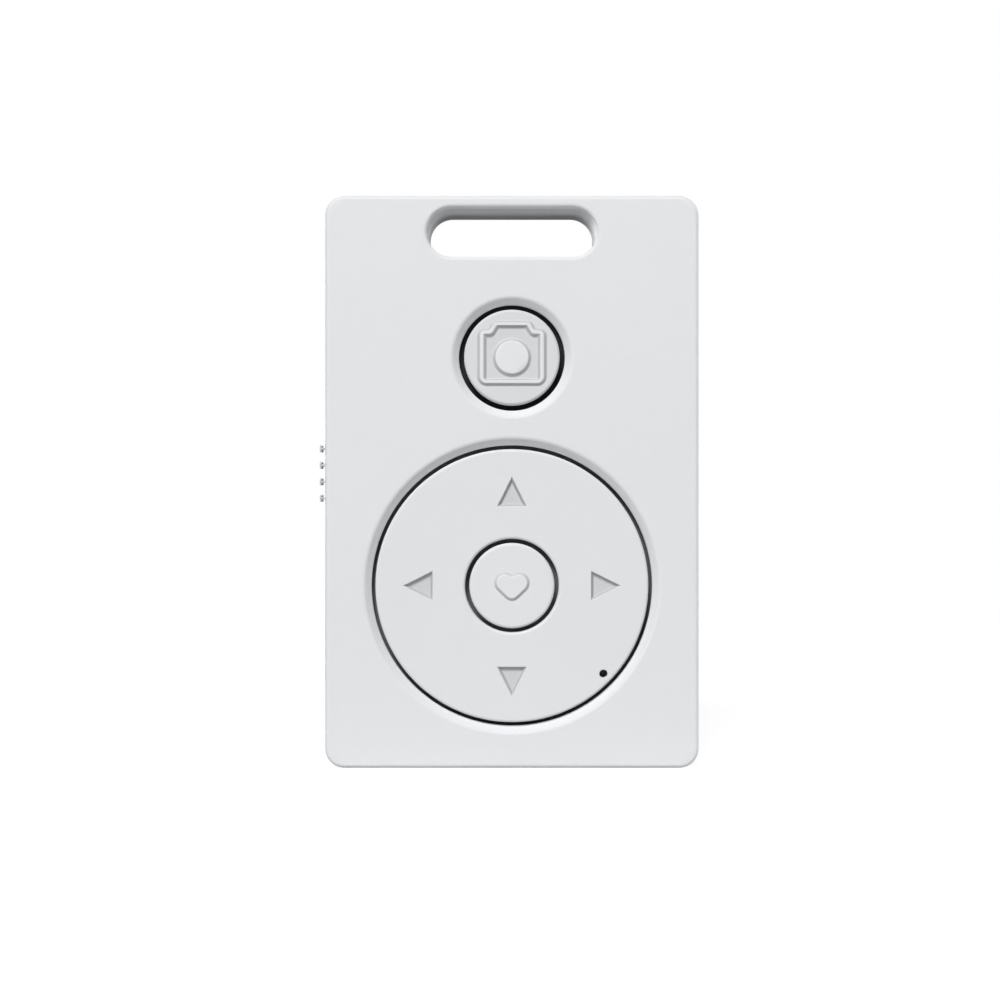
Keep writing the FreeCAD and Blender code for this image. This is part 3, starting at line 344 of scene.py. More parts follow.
# The rear half is moulded like the front. It carries the seat that the battery door turns in, a low
# ring wall round the cell, two posts that back up the circuit board and the screws' counterbores.
REAR_INSIDE = HALF_DEPTH - WALL
CELL_RISE, DOOR_SEAT, DOOR_RIM, DOOR_OPENING, DOOR_LEDGE = 21.0, 12.12, 0.2, 11.22, 3.4
CELL_WALL, CELL_WALL_OUTSIDE, CELL_WALL_FRONT = 12.8, 13.6, 0.98
BACKING_RISE, BACKING_POST, BACKING_FRONT = 6.7, 1.15, -0.9
HEAD_BORE, HEAD_RIM, HEAD_SEAT, SHANK_HOLE, SCREW_STEPS = 1.6, 0.3, 2.9, 0.9, 48
MOUTH_ROUND, WINDOW_BACK = 0.12, 0.85

rear = case_half(1)
turned(rear, 0, CELL_RISE, [
    (DOOR_SEAT + DOOR_RIM, HALF_DEPTH), (DOOR_SEAT, HALF_DEPTH), (DOOR_SEAT, DOOR_LEDGE),
    (DOOR_OPENING, DOOR_LEDGE), (DOOR_OPENING, REAR_INSIDE)], [(1, MOUTH_ROUND)])
turned(rear, 0, CELL_RISE, [
    (CELL_WALL, REAR_INSIDE), (CELL_WALL, CELL_WALL_FRONT), (CELL_WALL_OUTSIDE, CELL_WALL_FRONT),
    (CELL_WALL_OUTSIDE, REAR_INSIDE)])
for side in (-1, 1):
    for (x, z), post in ((SCREWS_LOW, [(SCREW_POST, 0), (SCREW_POST, REAR_INSIDE)]),
                         (SCREWS_HIGH, [])):
        turned(rear, side * x, z, [
            (HEAD_BORE + HEAD_RIM, HALF_DEPTH), (HEAD_BORE, HALF_DEPTH), (HEAD_BORE, HEAD_SEAT),
            (SHANK_HOLE, HEAD_SEAT), (SHANK_HOLE, 0)] + post, [(1, MOUTH_ROUND)],
            steps=SCREW_STEPS)
    turned(rear, side * BOARD_SCREWS[0], BACKING_RISE, [
        (BACKING_POST, REAR_INSIDE), (BACKING_POST, BACKING_FRONT), (0, BACKING_FRONT)],
        steps=HOLE_STEPS)
cut_window(rear, WINDOW_BACK)
close_flat(rear, HALF_DEPTH, REAR_INSIDE, 0)
piece("case_rear", rear, "case", [case_grey, slot_painted_shade], ["rear_cover"])

# Four zinc-plated pan-head screws, headed and roll-threaded from wire, sit in the counterbores.
# Each has a tapered cross recess and bites into a plain pilot hole in the front half.
SCREW_HEAD, SCREW_TOP, HEAD_FLAT, HEAD_ROUND = 1.5, 3.7, 0.95, 0.35
SHANK, SHANK_END, POINT, POINT_END = 0.8, -1.5, 0.45, -1.8
CROSS_ARM, CROSS_HALF = 0.8, 0.2
CROSS_STEPS = [(0.05, 3.45), (0.06, 3.25)]
SCREW_TURN = 0.9
plated_skin = skin_group("plated_skin", (9000.0, 2, 0.5), (600.0, 4, 0.6))
screw_zinc = finish("screw_zinc", plated_skin, ((0.52, 0.53, 0.55), (0.4, 0.41, 0.43)),
                    (0.3, 0.45), 6e-6, metallic=1.0)


def face_within(bm, edges):
    """The flat face within a closed run of edges."""
    before = set(bm.faces)
    bmesh.ops.contextual_create(bm, geom=edges)
    return [face for face in bm.faces if face not in before][0]


def flat_outline(bm, points, y, rounds=(), segments=6):
    """A flat face through the points (x, z), with corners rounded as for a line."""
    return face_within(bm, line(bm, [(x, y, z) for x, z in points], rounds, True, segments))


def step_in(bm, face, steps):
    """Steps a face in from its outline; each step is (distance in, new y)."""
    for distance, y in steps:
        bmesh.ops.inset_region(bm, faces=[face], thickness=distance, use_even_offset=True,
                               use_boundary=True)
        bmesh.ops.translate(bm, vec=(0, y - face.verts[0].co.y, 0), verts=face.verts)


screws = bmesh.new()
turned(screws, 0, 0, [
    (HEAD_FLAT, SCREW_TOP), (SCREW_HEAD, SCREW_TOP), (SCREW_HEAD, HEAD_SEAT), (SHANK, HEAD_SEAT),
    (SHANK, SHANK_END), (POINT, POINT_END), (0, POINT_END)], [(1, HEAD_ROUND)],
    steps=SCREW_STEPS)
quarter_cross = [(CROSS_HALF, CROSS_HALF), (CROSS_HALF, CROSS_ARM), (-CROSS_HALF, CROSS_ARM)]
cross = [*quarter_cross, *((-z, x) for x, z in quarter_cross),
         *((-x, -z) for x, z in quarter_cross), *((z, -x) for x, z in quarter_cross)]
step_in(screws, flat_outline(screws, cross, SCREW_TOP), CROSS_STEPS)
close_flat(screws, SCREW_TOP)
bmesh.ops.remove_doubles(screws, verts=screws.verts, dist=NEAR)
first_screw = screws.verts[:] + screws.edges[:] + screws.faces[:]
first_place, *other_places = [(side * x, z) for side in (-1, 1)
                              for x, z in (SCREWS_LOW, SCREWS_HIGH)]
for turn, (x, z) in enumerate(other_places, start=1):
    copied = of_kind(bmesh.ops.duplicate(screws, geom=first_screw)["geom"], BMVert)
    bmesh.ops.rotate(screws, cent=(0, 0, 0), matrix=Matrix.Rotation(turn * SCREW_TURN, 3, "Y"),
                     verts=copied)
    bmesh.ops.translate(screws, vec=(x, 0, z), verts=copied)
bmesh.ops.translate(screws, vec=(first_place[0], 0, first_place[1]),
                    verts=of_kind(first_screw, BMVert))
piece("case_screw_set", screws, "case", screw_zinc, ["case_screws"])

# The shutter key is a round cap in the case's ABS with a raised camera outline and a lens disc. It
# drops into its well from behind, glued to its silicone boot, with an even gap all round.
SHUTTER_CAP, CAP_BACK, CAP_EDGE, CAP_RIM, BORE_STEPS = 5.015, -2.7, 0.28, 0.04, 112
CAMERA_SIDE, CAMERA_LOW, CAMERA_SHOULDER = 3.55, -2.9, 2.95
HUMP_FOOT, HUMP_HEAD, HUMP_TOP = 2.4, 2.0, 3.75
SYMBOL_TOP, SYMBOL_FLOOR, SYMBOL_LINE, LENS = FRONT - 0.3, FRONT + 0.06, 0.8, 1.93
PALE_SHADES = (0.782, 0.79, 0.806), (0.772, 0.78, 0.797)


def key_finish(name, shades):
    return finish(name, moulded_skin, shades, (0.5, 0.58), 0.9e-5, sheen=0.2, Grain=5200.0)


def cap_body(bm, rise, radius, bore=None):
    """The sides of a round cap, open at front and back, with its bore's wall if it has one."""
    turned(bm, 0, rise, [(radius - CAP_EDGE - CAP_RIM, FRONT), (radius, FRONT),
                         (radius, CAP_BACK)], [(1, CAP_EDGE)], steps=WELL_STEPS)
    if bore:
        turned(bm, 0, rise, [(bore + CAP_EDGE + CAP_RIM, FRONT), (bore, FRONT),
                             (bore, CAP_BACK)], [(1, CAP_EDGE)], steps=BORE_STEPS)


def camera_outline(bm, inset, y):
    """The camera symbol's outline at this y. Each of its edges moves in by its own share of the
    inset, which keeps the raised line as wide along the top as along the sides."""
    side, low = CAMERA_SIDE - inset, CAMERA_LOW + 0.8 * inset
    shoulder, foot = CAMERA_SHOULDER - 0.9 * inset, HUMP_FOOT - 0.5 * inset
    head, top = HUMP_HEAD - 0.7 * inset, HUMP_TOP - 0.72 * inset
    points = [(-side, low), (side, low), (side, shoulder), (foot, shoulder), (head, top),
              (-head, top), (-foot, shoulder), (-side, shoulder)]
    # Outer corners get tighter as the outline moves in, and the hump's two inner ones wider.
    outer = {0: 0.9, 1: 0.9, 2: 0.7, 7: 0.7, 4: 0.4, 5: 0.4}
    rounds = [(corner, max(size - inset, 0.08)) for corner, size in outer.items()]
    rounds += [(corner, 0.18 + inset * 0.2) for corner in (3, 6)]
    return line(bm, [(x, y, SHUTTER_RISE + z) for x, z in points], rounds, True, 5)


key_grey = key_finish("key_grey", ((0.768, 0.776, 0.792), (0.758, 0.766, 0.782)))
# The shutter cap's colour changes with depth: the flanks of the raised outline and lens and the
# floor inside the outline are darkened as painted shade, and the cap's face and sides are a little
# darker than the raised top.
shutter_grey_painted_shade = key_finish("shutter_grey_painted_shade", PALE_SHADES)
shade_by_depth(shutter_grey_painted_shade, (-4.285, -4.25, (0.53, 0.536, 0.547)),
               (-4.05, -4.0, (0.7, 0.707, 0.722)), (-3.99, -3.95, (0.65, 0.656, 0.67)),
               (-3.93, -3.9, (0.7, 0.707, 0.722)))
shutter = bmesh.new()
cap_body(shutter, SHUTTER_RISE, SHUTTER_CAP)
# The sides of the raised line and of the lens lean in by these distances at these depths.
slope = [(-0.12, FRONT), (0.19, SYMBOL_TOP + 0.04), (0.27, SYMBOL_TOP)]
inner_slope = [(-0.13, SYMBOL_FLOOR)] + slope[1:]
for flank in (slope, [(SYMBOL_LINE - inset, y) for inset, y in inner_slope]):
    rings = [camera_outline(shutter, inset, y) for inset, y in flank]
    for ring, next_ring in zip(rings, rings[1:]):
        bmesh.ops.bridge_loops(shutter, edges=ring + next_ring)
turned(shutter, 0, SHUTTER_RISE, [(LENS - inset, y) for inset, y in inner_slope], steps=64)
close_flat(shutter, FRONT, SYMBOL_FLOOR, SYMBOL_TOP, CAP_BACK)
piece("shutter_cap", shutter, "shutter_key", shutter_grey_painted_shade, ["shutter_button"],
      crease=28)

# The four-way ring is one cap for four keys. A triangle is sunk into it over each switch, and a
# small hole at the lower right lets the indicator light show.
RING_CAP, RING_BORE = 14.31, 4.915
ARROW_BASE, ARROW_TIP, ARROW_WIDTH, ARROW_ROUND = 8.27, 11.45, 3.18, 0.06
ARROW_STEPS = [(0.04, FRONT + 0.06), (0.22, FRONT + 0.4), (0.05, FRONT + 0.45)]
LOW_ARROW_LIFT = 0.2
LIGHT_X, LIGHT_Z, LIGHT_HOLE, LIGHT_ROUND = 9.5905, -9.2292, 0.43, 0.05
# The sunk arrows' colour is darkened by depth as painted shade, darkest on their walls and a little
# lighter on their floors.
arrow_painted_shade = finish("arrow_painted_shade", moulded_skin, PALE_SHADES, (0.6, 0.7), 1.6e-5, sheen=0.2,
                    Grain=3600.0)
shade_by_depth(arrow_painted_shade, (-3.97, -3.88, (0.5, 0.506, 0.517)),
               (-3.62, -3.57, (0.605, 0.612, 0.624)))

ring_cap = bmesh.new()
cap_body(ring_cap, RING_RISE, RING_CAP, RING_BORE)
plain = set(ring_cap.faces)
for quarter in range(4):
    known = set(ring_cap.verts)
    arrow = flat_outline(ring_cap, [
        (-ARROW_WIDTH / 2, ARROW_BASE), (ARROW_WIDTH / 2, ARROW_BASE), (0, ARROW_TIP)],
        FRONT, [(corner, ARROW_ROUND) for corner in range(3)], 2)
    step_in(ring_cap, arrow, ARROW_STEPS)
    sunk = [vert for vert in ring_cap.verts if vert not in known]
    if quarter == 2:
        bmesh.ops.translate(ring_cap, vec=(0, 0, LOW_ARROW_LIFT), verts=sunk)
    bmesh.ops.rotate(ring_cap, cent=(0, 0, 0), verts=sunk,
                     matrix=Matrix.Rotation(quarter * math.pi / 2, 3, "Y"))
    bmesh.ops.translate(ring_cap, vec=(0, 0, RING_RISE), verts=sunk)
tint_new(ring_cap, plain)
turned(ring_cap, LIGHT_X, RING_RISE + LIGHT_Z, [
    (LIGHT_HOLE + LIGHT_ROUND, FRONT), (LIGHT_HOLE, FRONT + LIGHT_ROUND),
    (LIGHT_HOLE, CAP_BACK)], steps=HOLE_STEPS)
close_flat(ring_cap, FRONT, CAP_BACK)
piece("four_way_ring", ring_cap, "nav_ring", [key_grey, arrow_painted_shade], ["nav_ring"])

# The heart key in the ring's bore is a cap like the shutter key's. Its raised heart is drawn from
# two round lobes with straight sides to the tip, and slopes softly to the face.
HEART_CAP = 4.47
LOBE, LOBE_OUT, LOBE_UP, HEART_TIP = 1.12, 0.75, 0.3, -1.97
TIP_ROUND, NOTCH_ROUND = 0.9, 0.14
HEART_STEPS = [(0.06, FRONT - 0.05), (0.22, FRONT - 0.26), (0.05, FRONT - 0.3)]
# The raised heart's flanks are darkened below its top as painted shade.
heart_painted_shade = key_finish("heart_painted_shade", ((0.775, 0.783, 0.799), (0.765, 0.773, 0.79)))
shade_by_depth(heart_painted_shade, (-4.27, -4.22, (0.58, 0.586, 0.598)))


def loose(items):
    return [item for item in items if not item.link_faces]


heart_cap = bmesh.new()
cap_body(heart_cap, RING_RISE, HEART_CAP)
plain = set(heart_cap.faces)
drop = LOBE_UP - HEART_TIP
sweep = (math.tau - math.acos(LOBE_OUT / LOBE) - math.acos(LOBE / math.hypot(LOBE_OUT, drop))
         - math.atan2(drop, LOBE_OUT))
notch = heart_cap.verts.new(
    (0, FRONT, RING_RISE + LOBE_UP + math.sqrt(LOBE ** 2 - LOBE_OUT ** 2)))
bmesh.ops.spin(heart_cap, geom=[notch], cent=(LOBE_OUT, FRONT, RING_RISE + LOBE_UP),
               axis=(0, 1, 0), angle=sweep, steps=20)
lobe_end = [vert for vert in loose(heart_cap.verts)
            if len(vert.link_edges) == 1 and vert != notch][0]
tip = heart_cap.verts.new((0, FRONT, RING_RISE + HEART_TIP))
heart_cap.edges.new((lobe_end, tip))
bmesh.ops.mirror(heart_cap, geom=loose(heart_cap.verts) + loose(heart_cap.edges), axis="X",
                 matrix=Matrix.Identity(4), merge_dist=1e-3)
for corner in [vert for vert in loose(heart_cap.verts) if abs(vert.co.x) < 1e-3]:
    rounded(heart_cap, [corner], TIP_ROUND if corner.co.z < RING_RISE else NOTCH_ROUND, 6,
            "VERTICES")
step_in(heart_cap, face_within(heart_cap, loose(heart_cap.edges)), HEART_STEPS)
tint_new(heart_cap, plain)
close_flat(heart_cap, FRONT, CAP_BACK)
piece("heart_cap", heart_cap, "heart_key", [key_grey, heart_painted_shade],
      ["heart_button"], crease=28)

# Under each cap is a boot moulded in matt silicone, black for the two keys and dark grey for the
# ring: a pad glued to the cap, a thin web that lets it move, a foot trapped under the case and a
# plunger over each snap dome.
PAD_BACK, WEB_FRONT, FOOT_BACK, FOOT_FRONT, PLUNGER_BACK = -2.3, -2.5, -1.6, -2.75, -1.91
PLUNGER, PLUNGER_ROUND, PLUNGER_REACH, FOOT_WIDTH = 1.3, 0.1, 9.6125, 0.6
SHUTTER_PAD, SHUTTER_WEB = 4.715, 5.84
HEART_PAD, HEART_PAD_BACK, HEART_WEB, HEART_FOOT_FRONT = 4.17, 3.97, 4.915, -2.0
RING_PAD_BORE, RING_PAD, RING_FOOT, WEB_BACK, WEB_END, WEB = 5.215, 14.01, 15.02, -1.7, -1.75, 0.2
BOOT_BEND, BOOT_STEPS, LIGHT_WELL = 0.08, 96, 0.6
SILICONE = {"gloss": (0.7, 0.82), "relief": 8e-6, "sheen": 0.25, "Grain": 3000.0}
silicone_black = finish("silicone_black", moulded_skin,
                        ((0.012, 0.012, 0.013), (0.018, 0.018, 0.019)), **SILICONE)
silicone_grey = finish("silicone_grey", moulded_skin,
                       ((0.15, 0.15, 0.155), (0.17, 0.17, 0.175)), **SILICONE)

shutter_boot = bmesh.new()
turned(shutter_boot, 0, SHUTTER_RISE, [
    (0, PLUNGER_BACK), (PLUNGER, PLUNGER_BACK), (PLUNGER, PAD_BACK), (SHUTTER_WEB, PAD_BACK),
    (SHUTTER_WEB, FOOT_BACK), (SHUTTER_WEB + FOOT_WIDTH, FOOT_BACK),
    (SHUTTER_WEB + FOOT_WIDTH, FOOT_FRONT), (SHUTTER_WEB, FOOT_FRONT), (SHUTTER_WEB, WEB_FRONT),
    (SHUTTER_PAD, WEB_FRONT), (SHUTTER_PAD, CAP_BACK), (0, CAP_BACK)],
    [(1, PLUNGER_ROUND), (8, BOOT_BEND), (9, BOOT_BEND)], steps=BOOT_STEPS)
boot = piece("shutter_boot", shutter_boot, "case", silicone_black,
             ["shutter_key_rubber"])
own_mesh(boot)

heart_boot = bmesh.new()
turned(heart_boot, 0, RING_RISE, [
    (0, PLUNGER_BACK), (PLUNGER, PLUNGER_BACK), (PLUNGER, PAD_BACK), (HEART_PAD_BACK, PAD_BACK),
    (HEART_WEB, FOOT_BACK), (HEART_WEB + FOOT_WIDTH, FOOT_BACK),
    (HEART_WEB + FOOT_WIDTH, HEART_FOOT_FRONT), (HEART_WEB, HEART_FOOT_FRONT),
    (HEART_PAD, WEB_FRONT), (HEART_PAD, CAP_BACK), (0, CAP_BACK)],
    [(1, PLUNGER_ROUND), (7, BOOT_BEND)], steps=BOOT_STEPS)
boot = piece("heart_boot", heart_boot, "case", silicone_black, ["heart_key_rubber"])
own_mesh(boot)

# The ring's boot is cut in two at the foot. The foot stays in the case, and the web runs from it
# to the pad; the pad and web are put on no body.
ring_foot = bmesh.new()
turned(ring_foot, 0, RING_RISE, [
    (RING_FOOT, FOOT_BACK), (RING_FOOT + FOOT_WIDTH, FOOT_BACK),
    (RING_FOOT + FOOT_WIDTH, FOOT_FRONT), (RING_FOOT, FOOT_FRONT), (RING_FOOT, FOOT_BACK)])
piece("ring_boot_foot", ring_foot, "case", silicone_grey)

ring_boot = bmesh.new()
turned(ring_boot, 0, RING_RISE, [
    (RING_PAD_BORE, CAP_BACK), (RING_PAD_BORE, PAD_BACK), (RING_PAD, PAD_BACK),
    (RING_FOOT, WEB_END), (RING_FOOT, WEB_END - WEB),
    (RING_PAD + 0.11, WEB_FRONT + 0.05), (RING_PAD, WEB_FRONT), (RING_PAD, CAP_BACK)])
turned(ring_boot, LIGHT_X, RING_RISE + LIGHT_Z, [
    (LIGHT_WELL, CAP_BACK), (LIGHT_WELL, PAD_BACK)], steps=HOLE_STEPS)
back_faces = [face for face in ring_boot.faces if at_depth(face, PAD_BACK)]
bmesh.ops.delete(ring_boot, geom=back_faces, context="FACES_ONLY")
close_flat(ring_boot, PAD_BACK, CAP_BACK)
for x, z in ((0, 1), (0, -1), (1, 0), (-1, 0)):
    turned(ring_boot, x * PLUNGER_REACH, RING_RISE + z * PLUNGER_REACH, [
        (0, PLUNGER_BACK), (PLUNGER, PLUNGER_BACK), (PLUNGER, PAD_BACK - 0.1),
        (0, PAD_BACK - 0.1)], [(1, PLUNGER_ROUND)], steps=HOLE_STEPS)
ring_rubber = piece("ring_boot", ring_boot, None, silicone_grey, ["nav_pad_rubber"])
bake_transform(ring_rubber)

# The slide switch's knob is moulded in grey acetal and runs in the left edge. Four ribs stand on a
# thin plate outside the case, a neck passes through the window, and a flange and fork inside carry
# the switch's lever.
KNOB_RISE, KNOB_DEPTH, RIB_PITCH = 30.92, -0.2, 1.76
INSIDE_X, FLANGE_HIGH = (-18.25, -17.65), 5.45


def block(bm, across, deep, up, round_size, segments):
    """A block with rounded edges that fills a span (low, high) along each of X, Y and Z."""
    spans = across, deep, up
    made = bmesh.ops.create_cube(bm, size=1)["verts"]
    bmesh.ops.scale(bm, vec=[high - low for low, high in spans], verts=made)
    bmesh.ops.translate(bm, vec=[(low + high) / 2 for low, high in spans], verts=made)
    edges = dict.fromkeys(edge for vert in made for edge in vert.link_edges)
    rounded(bm, list(edges), round_size, segments)


knob_blocks = [
    ((-19.8, -19.67), (-1.5, 1.5), (-3.3, 3.3), 0.04, 3),  # plate
    ((-19.7, -18.2), (-0.9, 0.9), (-2.25, 2.25), 0.04, 2),  # neck
    (INSIDE_X, (-1.5, -0.35), (-FLANGE_HIGH, FLANGE_HIGH), 0.04, 2),  # flange
    (INSIDE_X, (0.35, 1.5), (-FLANGE_HIGH, FLANGE_HIGH), 0.04, 2),
    (INSIDE_X, (-0.4, 0.4), (-FLANGE_HIGH, -0.65), 0.02, 1),  # fork
    (INSIDE_X, (-0.4, 0.4), (0.65, FLANGE_HIGH), 0.02, 1)]
for rib in (-1.5, -0.5, 0.5, 1.5):
    level = rib * RIB_PITCH
    knob_blocks += [
        ((-20.25, -19.7), (-0.9, 0.9), (level - 0.1, level + 0.1), 0.02, 1),  # rib's stem
        ((-20.42, -20.19), (-1, 1), (level - 0.37, level + 0.37), 0.11, 5)]  # rib's round crown
knob_grey = finish("knob_grey", moulded_skin, ((0.6, 0.607, 0.62), (0.57, 0.577, 0.59)),
                   (0.5, 0.6), 1e-5, sheen=0.35, Grain=5200.0)
knob = bmesh.new()
for across, deep, up, round_size, segments in knob_blocks:
    block(knob, across, [KNOB_DEPTH + y for y in deep], [KNOB_RISE + z for z in up],
          round_size, segments)
piece("slide_knob", knob, "slider", knob_grey, ["power_slider"])

# The battery door is a disc in the case's grey ABS with a coin slot. A ring wall inside it holds
# the cell, and three bayonet lugs under the case's ledge lock it when a coin turns it.
DOOR, DOOR_FLAT, DOOR_BACK, DOOR_ROUND = 12.0, 11.75, 3.52, 0.15
HOLDER, HOLDER_INSIDE, HOLDER_FRONT, HOLDER_ROUND = 11.1, 10.3, 2.08, 0.1
COIN_REACH, COIN_HALF, COIN_ROUND = 7.5, 0.9, 0.6
COIN_STEPS = [(0.05, 3.96), (0.06, 3.45), (0.05, 3.4)]
LUG_HALF, LUG_BACK, LUG_REACH = 2, 2.68, (10.7, 12.1)

door = bmesh.new()
turned(door, 0, CELL_RISE, [
    (DOOR_FLAT, HALF_DEPTH), (DOOR, HALF_DEPTH), (DOOR, DOOR_BACK), (HOLDER, DOOR_BACK),
    (HOLDER, HOLDER_FRONT), (HOLDER_INSIDE, HOLDER_FRONT), (HOLDER_INSIDE, REAR_INSIDE)],
    [(1, DOOR_ROUND), (4, HOLDER_ROUND), (5, HOLDER_ROUND)])
coin = [(-COIN_REACH, -COIN_HALF), (COIN_REACH, -COIN_HALF), (COIN_REACH, COIN_HALF),
        (-COIN_REACH, COIN_HALF)]
coin_slot = flat_outline(door, [(x, CELL_RISE + z) for x, z in coin], HALF_DEPTH,
                         [(corner, COIN_ROUND) for corner in range(4)])
step_in(door, coin_slot, COIN_STEPS)
close_flat(door, HALF_DEPTH, REAR_INSIDE)
for third in range(3):
    known = set(door.verts)
    block(door, (-LUG_HALF, LUG_HALF), (HOLDER_FRONT, LUG_BACK), LUG_REACH, 0.05, 2)
    lug = [vert for vert in door.verts if vert not in known]
    bmesh.ops.rotate(door, cent=(0, 0, 0), verts=lug,
                     matrix=Matrix.Rotation(third * math.tau / 3, 3, "Y"))
    bmesh.ops.translate(door, vec=(0, 0, CELL_RISE), verts=lug)
piece("cell_door", door, "door", case_grey, ["battery_door"])

# The circuit board is green solder mask over woven glass, the film on it is clear polyester, and
# the contacts under the domes are plated with gold over nickel.


def dress(names, material):
    """Gives CAD pieces that show as they are their finish."""
    for name in names:
        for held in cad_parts[name].material_slots:
            held.material = material


dress(["circuit_board"], finish(
    "mask_green", moulded_skin, ((0.012, 0.075, 0.03), (0.02, 0.11, 0.045)), (0.25, 0.35), 6e-6,
    Grain=1500.0, Patches=420.0))
dress(["dome_film"], finish(
    "film_clear", moulded_skin, ((0.6, 0.6, 0.57), (0.66, 0.66, 0.63)), (0.35, 0.5), 4e-6,
    Grain=7000.0))
dress(["contact_pads", "switch_terminals"], finish(
    "contact_gold", plated_skin, ((0.83, 0.6, 0.24), (0.72, 0.5, 0.18)), (0.22, 0.34), 4e-6,
    metallic=1.0))

# Six snap domes are pressed from hard stainless sheet, like the two battery springs and the shell
# of the switch. Two small screws hold the board to the front half.
dress(["dome_shutter", "dome_heart", "dome_up", "dome_down", "dome_left", "dome_right",
       "battery_positive_contact", "battery_negative_contact", "switch_shell"], finish(
    "spring_bright", plated_skin, ((0.62, 0.61, 0.59), (0.5, 0.49, 0.47)), (0.2, 0.32), 4e-6,
    metallic=1.0, Patches=900.0))
dress(["board_screws"], screw_zinc)

# The radio chip, its crystal and the small parts are soldered to the back of the board, beside an
# antenna etched in copper. The light is a clear resin block on the front.
dress(["bluetooth_chip", "resistors", "switch_lever"], finish(
    "epoxy_black", moulded_skin, ((0.018, 0.018, 0.019), (0.026, 0.026, 0.027)), (0.45, 0.6),
    7e-6, Grain=8000.0, Patches=500.0))
dress(["switch_base"], finish(
    "base_tan", moulded_skin, ((0.5, 0.33, 0.14), (0.42, 0.27, 0.11)), (0.35, 0.45), 6e-6,
    Grain=6000.0, Patches=400.0))
dress(["capacitors"], finish(
    "fired_ceramic", moulded_skin, ((0.34, 0.21, 0.1), (0.26, 0.16, 0.08)), (0.5, 0.6), 8e-6,
    Grain=9000.0, Patches=900.0))
dress(["crystal"], finish(
    "crystal_lid", plated_skin, ((0.66, 0.66, 0.64), (0.55, 0.55, 0.53)), (0.25, 0.4), 4e-6,
    metallic=1.0))
dress(["antenna_trace"], finish(
    "antenna_copper", plated_skin, ((0.6, 0.27, 0.13), (0.48, 0.2, 0.09)), (0.3, 0.45), 5e-6,
    metallic=1.0))
dress(["indicator_led"], finish(
    "light_resin", moulded_skin, ((0.3, 0.3, 0.26), (0.24, 0.24, 0.2)), (0.12, 0.2), 2e-6,
    Grain=4000.0, Patches=500.0))

# The coin cell has a pressed nickel-plated can and cap, sealed by a moulded ring. Its filling is
# pressed powder and lithium foil.
dress(["cell_can", "cell_cap"], finish(
    "cell_nickel", plated_skin, ((0.68, 0.67, 0.65), (0.58, 0.57, 0.55)), (0.2, 0.35), 5e-6,
    metallic=1.0, Patches=300.0))
dress(["cell_gasket"], finish(
    "seal_white", moulded_skin, ((0.5, 0.5, 0.47), (0.44, 0.44, 0.41)), (0.4, 0.5), 6e-6))
dress(["cell_filling"], finish(
    "powder_dark", moulded_skin, ((0.02, 0.02, 0.02), (0.035, 0.035, 0.035)), (0.8, 0.95), 2e-5,
    Grain=7000.0, Patches=900.0))

# The floor and the world read as plain white to the camera, while the floor keeps a soft shadow.
# A big soft lamp stands high at the front left, and two weaker ones light the right side and the
# back.
scene = bpy.context.scene
scene.view_settings.view_transform = "Standard"


def seen_directly(tree):
    """One where the camera or glass looks, part of that in a mirror, and nought for light that
    bounces about."""
    path = shader_node(tree, "LightPath", {})
    seen = math_node(tree, "MAXIMUM", path["Is Camera Ray"], path["Is Transmission Ray"])
    mirrored = math_node(tree, "MULTIPLY", path["Is Glossy Ray"], 0.3)
    return math_node(tree, "MAXIMUM", seen, mirrored)


def grey(level):
    return (level, level, level, 1)


floor_mesh = bmesh.new()
bmesh.ops.create_grid(floor_mesh, x_segments=1, y_segments=1, size=3)
floor_data = bpy.data.meshes.new("floor")
floor_mesh.to_mesh(floor_data)
floor_mesh.free()
floor = bpy.data.objects.new("floor", floor_data)
scene.collection.objects.link(floor)
floor_pale = bpy.data.materials.new("floor_pale")
floor_pale.use_nodes = True
tree = floor_pale.node_tree
tree.nodes.remove(tree.nodes["Principled BSDF"])
place = shader_node(tree, "TexCoord", {})["Object"]

# What the floor throws back onto the remote is pale in front, palest under its front half and dark
# behind, so that the lower face and the strap slot keep their shading.
ahead = range_node(tree, shader_node(tree, "SeparateXYZ", {0: place})["Y"], -0.08, 0.02)
paler = tree.nodes.new("ShaderNodeValToRGB")
tree.links.new(ahead, paler.inputs[0])
for element, level in zip(paler.color_ramp.elements, (0.42, 0.05)):
    element.color = grey(level)
for share, level in ((0.65, 0.5), (0.75, 0.6), (0.8, 0.6), (0.88, 0.05)):
    paler.color_ramp.elements.new(share).color = grey(level)
thrown = shader_node(tree, "BsdfDiffuse", {"Color": paler.outputs[0]})[0]

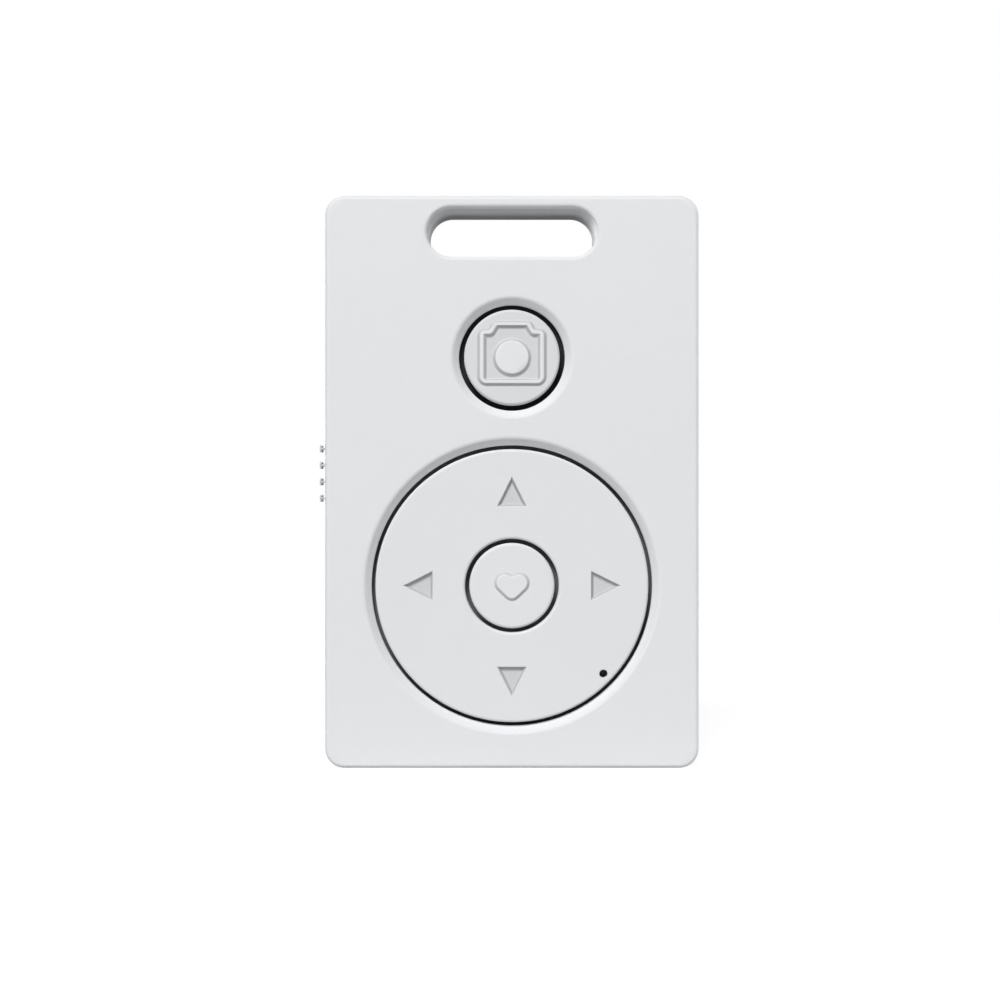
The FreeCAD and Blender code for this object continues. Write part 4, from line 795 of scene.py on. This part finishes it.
# To the camera the floor glows near white with the shadow on it, and fades to the plain backdrop
# from 0.12 to 0.3 m away.
shown = shader_node(tree, "AddShader", {
    0: shader_node(tree, "BsdfDiffuse", {"Color": grey(0.2)})[0],
    1: shader_node(tree, "Emission", {"Strength": 0.88})[0]})[0]
away = shader_node(tree, "VectorMath", {0: place}, operation="LENGTH")["Value"]
faded = shader_node(tree, "MixShader", {
    0: range_node(tree, away, 0.12, 0.3), 1: shown, 2: shader_node(tree, "Emission", {})[0]})[0]
choice = shader_node(tree, "MixShader", {0: seen_directly(tree), 1: thrown, 2: faded})[0]
tree.links.new(choice, tree.nodes["Material Output"].inputs["Surface"])
floor_data.materials.append(floor_pale)

world = bpy.data.worlds.new("studio")
world.use_nodes = True
scene.world = world
tree = world.node_tree
dim = tree.nodes["Background"]
dim.inputs["Color"].default_value = grey(1)
dim.inputs["Strength"].default_value = 0.03
white = shader_node(tree, "Background", {"Color": grey(1)})[0]
choice = shader_node(tree, "MixShader", {0: seen_directly(tree), 1: dim.outputs[0], 2: white})[0]
tree.links.new(choice, tree.nodes["World Output"].inputs["Surface"])


def soft_lamp(name, place, power, size):
    """A square area lamp that faces the middle of the remote; power in watts, the rest metres."""
    data = bpy.data.lights.new(name, "AREA")
    data.energy, data.size = power, size
    lamp = bpy.data.objects.new(name, data)
    lamp.location = place
    aim = Vector((0, 0, 0.03)) - Vector(place)
    lamp.rotation_euler = aim.to_track_quat("-Z", "Y").to_euler()
    scene.collection.objects.link(lamp)


soft_lamp("front_lamp", (-0.24, -0.96, 0.92), 18.6, 0.5)
soft_lamp("side_lamp", (0.6, 0.32, 0.12), 4.0, 0.4)
soft_lamp("back_lamp", (-0.5, 0.85, 0.09), 8.0, 0.4)

# The camera looks straight at the front from 0.19 m, a little below the middle of the remote.
lens = bpy.data.cameras.new("photo_view")
lens.lens, lens.sensor_width, lens.clip_start = 63.6, 36, 0.01
camera = bpy.data.objects.new("photo_view", lens)
camera.location = (-0.00125, -0.189, 0.0281)
camera.rotation_euler = (math.radians(90), 0, 0)
scene.collection.objects.link(camera)
scene.camera = camera
